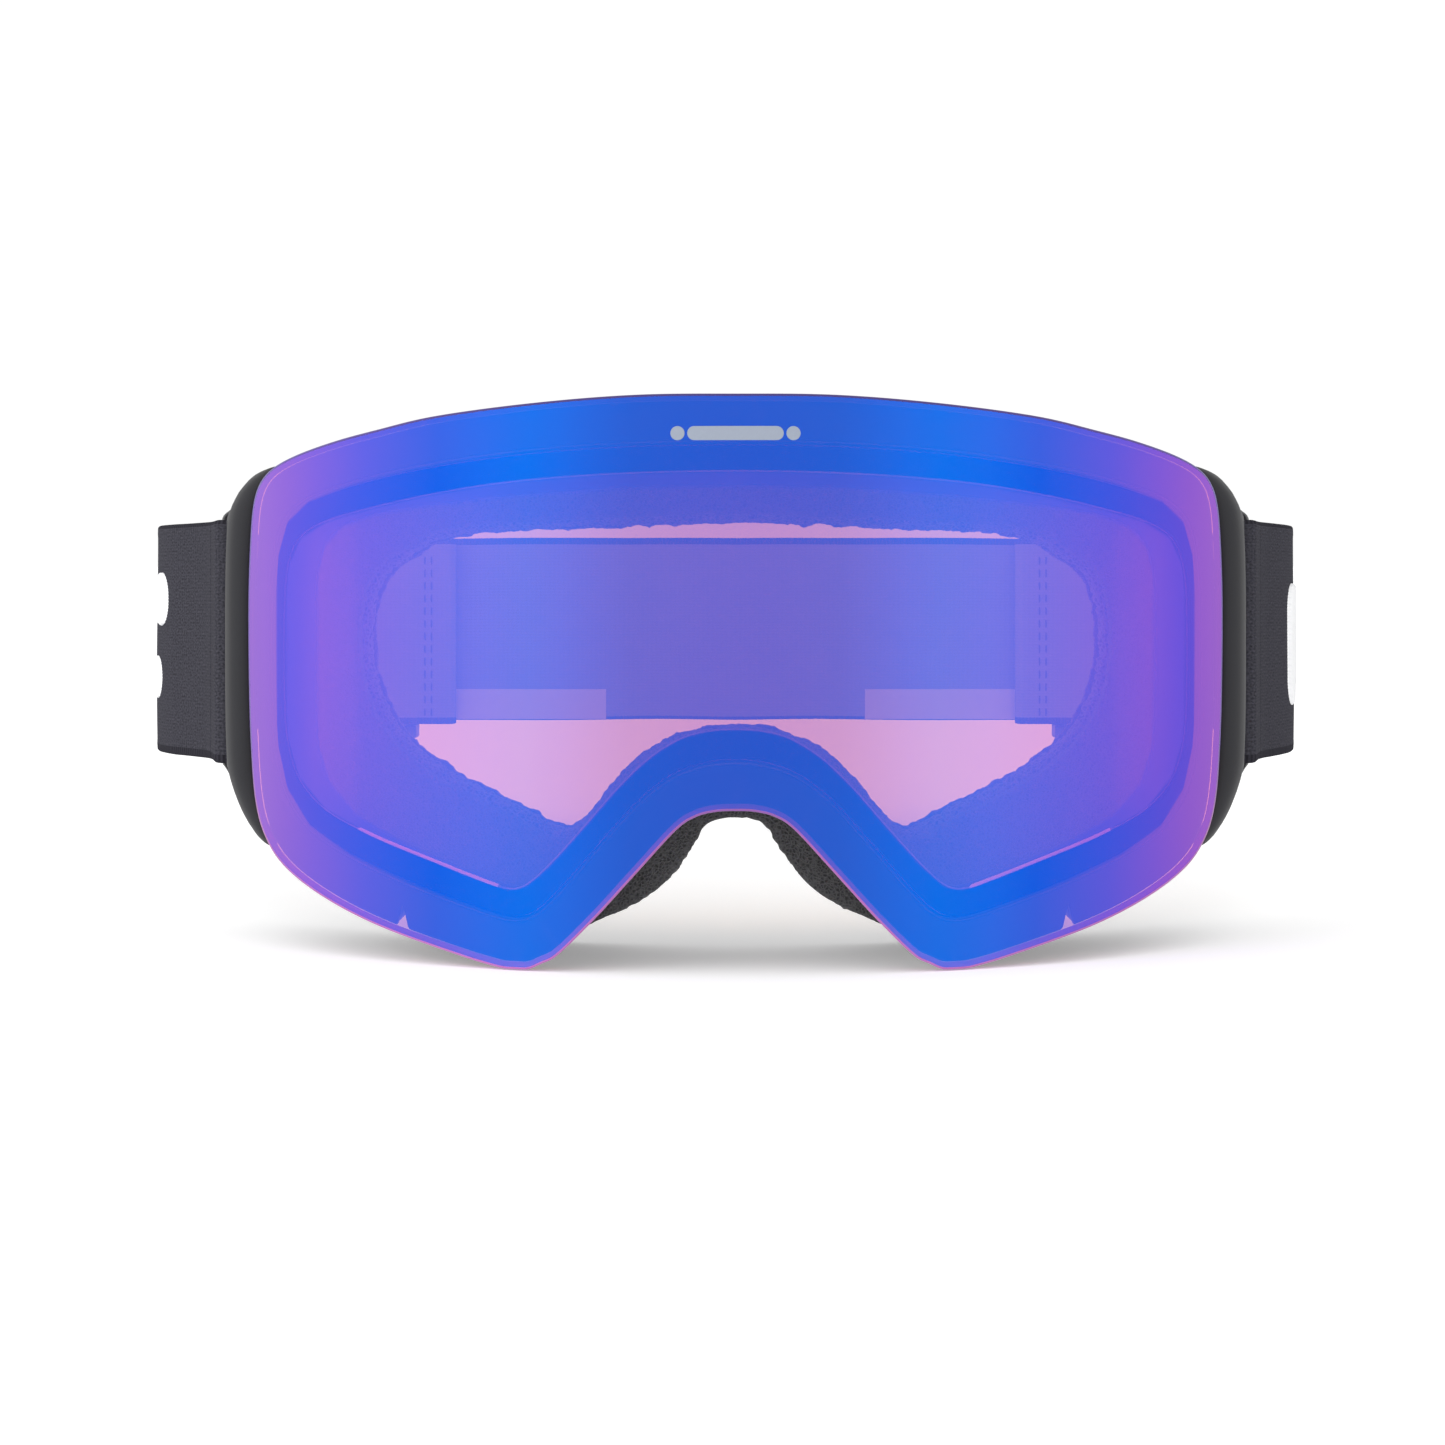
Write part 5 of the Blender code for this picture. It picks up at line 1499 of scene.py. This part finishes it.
# ------------------------------------------------------------------ marks on the strap's sides
# Bars: (place along the strap from the arm end, width, lowest z, highest z)
MARKS_RIGHT = [(25.5, 10.5, 39.0, 63.0), (38.5, 7.0, 42.5, 63.0), (49.5, 5.0, 46.0, 63.0),
               (59.0, 3.6, 49.5, 63.0)]
MARKS_LEFT = [(29.0, 9.5, 40.3, 48.7), (25.0, 9.5, 54.7, 65.2), (40.0, 7.0, 40.3, 50.7),
              (38.0, 7.0, 56.7, 65.2), (50.0, 5.0, 40.3, 65.2), (59.5, 3.6, 40.3, 65.2)]


def on_web(along, lift, side):
    """Plan points at distances along the outer web, lifted off its middle."""
    path = side_path(web_right, side)
    points, normals = (np.column_stack([np.interp(along, web_along, column) for column in part.T])
                       for part in (path, line_normals(path)))
    return points + unit(normals) * lift[:, None]


def satin(side, word, bars):
    """Raised satin-stitch bars with rounded ends."""
    verts, faces = [], []
    across = np.linspace(-1, 1, 9)
    for at, width, low, high in bars:
        rows = []
        radius = min(width / 2, (high - low) / 2)
        for k, z in enumerate(np.arange(low, high + 1e-6, 0.2)):
            edge = min(z - low, high - z)
            half = width / 2
            if edge < radius:
                half += math.sqrt(max(0.0, radius * radius - (radius - edge) ** 2)) - radius
            half = max(0.12, half + (0.16, -0.08, 0.05)[k % 3])
            rise = (0.85 + 0.15 * (k % 2)) * min(1.0, 0.35 + edge / 0.9)
            lift = WEB_T / 2 + 0.80 * rise * np.sqrt(np.maximum(0.0, 1 - across ** 4))
            lift[0] = lift[-1] = 0.7
            points = on_web(web_along[-1] - at - across * half, lift, side)
            rows.append(level(points[:, 0], points[:, 1], np.full(9, z)))
        base = len(verts)
        bar_verts, quads = lattice(rows, closed_rows=False, closed_cols=False)
        faces += [tuple(base + i for i in quad) for quad in quads]
        verts += list(bar_verts)
    obj = make(f"stitched_mark_{word}", mirror_x(verts, side), faces, [WHITE])
    # the bars are open underneath, so their faces are turned away from the head
    work = bmesh.new()
    work.from_mesh(obj.data)
    bmesh.ops.recalc_face_normals(work, faces=work.faces)
    if sum(face.normal.x * side * face.calc_area() for face in work.faces) < 0:
        bmesh.ops.reverse_faces(work, faces=work.faces)
    work.to_mesh(obj.data)
    work.free()
    arm_bend(obj, side, word)


satin(1, "right", MARKS_RIGHT)
satin(-1, "left", MARKS_LEFT)

# ------------------------------------------------------------------ stage, light and camera
# The surroundings' brightness by the angle in degrees away from the front
SKY_STOPS = [(0, 0.86), (20, 0.87), (34, 1.0), (50, 1.02), (66, 0.96), (100, 0.86), (180, 0.62)]


def studio_world():
    world = bpy.data.worlds.new("studio")
    scene.world = world
    net = Net(world, "Background")
    xyz = net.node("SeparateXYZ", {0: net.node("TexCoord")["Generated"]})
    angle = net.math("ARCTAN2", xyz[0], net.mul(xyz[1], -1.0))
    angle = net.math("DIVIDE", net.math("ABSOLUTE", angle), math.pi)
    sky = net.ramp(angle, [(at / 180, (grey * SKY_LEVEL,) * 3) for at, grey in SKY_STOPS])
    # the light comes a little more from the left, mostly in what falls on matt surfaces
    diffuse = net.node("LightPath")["Is Diffuse Ray"]
    right = net.mul(xyz[0], 1.4, clamp=True)
    left = net.mul(xyz[0], -1.4, clamp=True)
    right = net.mul(right, net.add(net.mul(diffuse, 0.18), 0.05))
    left = net.mul(left, net.mul(diffuse, 0.16))
    sky = net.scale(sky, net.add(net.sub(1.0, right), left))
    # the camera sees plain white
    seen = net.node("LightPath")["Is Camera Ray"]
    net.fill(net.shader, {"Color": net.mix(seen, sky, (1.02, 1.02, 1.02, 1.0))})


def studio_floor():
    """White paper that curves up far in front and behind; sizes in metres."""
    work = bmesh.new()
    bmesh.ops.create_grid(work, x_segments=40, y_segments=40, size=6.0)
    for vert in work.verts:
        vert.co.z = -0.0002 + max(0.0, abs(vert.co.y) - 3.5) ** 2 * 0.02
    mesh = bpy.data.meshes.new("studio_floor")
    work.to_mesh(mesh)
    work.free()
    mesh.shade_smooth()
    paper = finish("studio_paper", colour=(0.92, 0.92, 0.92), roughness=0.95,
                   textures=[("noise", 40.0, 0.0, 0.01)], specular=0.0)
    # a faint glow keeps the paper white right up to the object
    glow = paper.node_tree.nodes["Principled BSDF"]
    glow.inputs["Emission Color"].default_value = (1.0, 1.0, 1.0, 1.0)
    glow.inputs["Emission Strength"].default_value = 0.23
    mesh.materials.append(paper)
    floor = new_object("studio_floor", mesh)
    floor.visible_glossy = False


def softbox(name, location, target, size, watts):
    light = bpy.data.lights.new(name, "AREA")
    light.shape = "RECTANGLE"
    light.size, light.size_y = size
    light.energy = watts
    obj = new_object(name, light)
    obj.location = location
    obj.rotation_mode = "QUATERNION"
    aim = Vector(target) - Vector(location)
    obj.rotation_quaternion = aim.to_track_quat("-Z", "Y")
    obj.visible_camera = False
    obj.visible_glossy = False


def front_camera():
    data = bpy.data.cameras.new("camera")
    camera = new_object("camera", data)
    camera.location = (0.0, (SHIFT_Y - 420.0) * MM, 0.0613)
    camera.rotation_euler = (math.radians(90), 0, 0)
    data.lens = 65.37
    data.sensor_width = 36.0
    data.shift_x = -0.0090
    data.shift_y = -0.0903
    data.clip_start = 0.01
    scene.camera = camera


studio_world()
studio_floor()
softbox("soft_left", location=(-1.1, -0.7, 0.5), target=(0, 0, 0.04), size=(0.7, 0.9), watts=3.6)
softbox("soft_top", location=(0.1, -0.2, 1.4), target=(0, 0, 0.0), size=(1.2, 0.9), watts=1.0)
front_camera()
scene.view_settings.view_transform = "Standard"
scene.view_settings.look = "None"
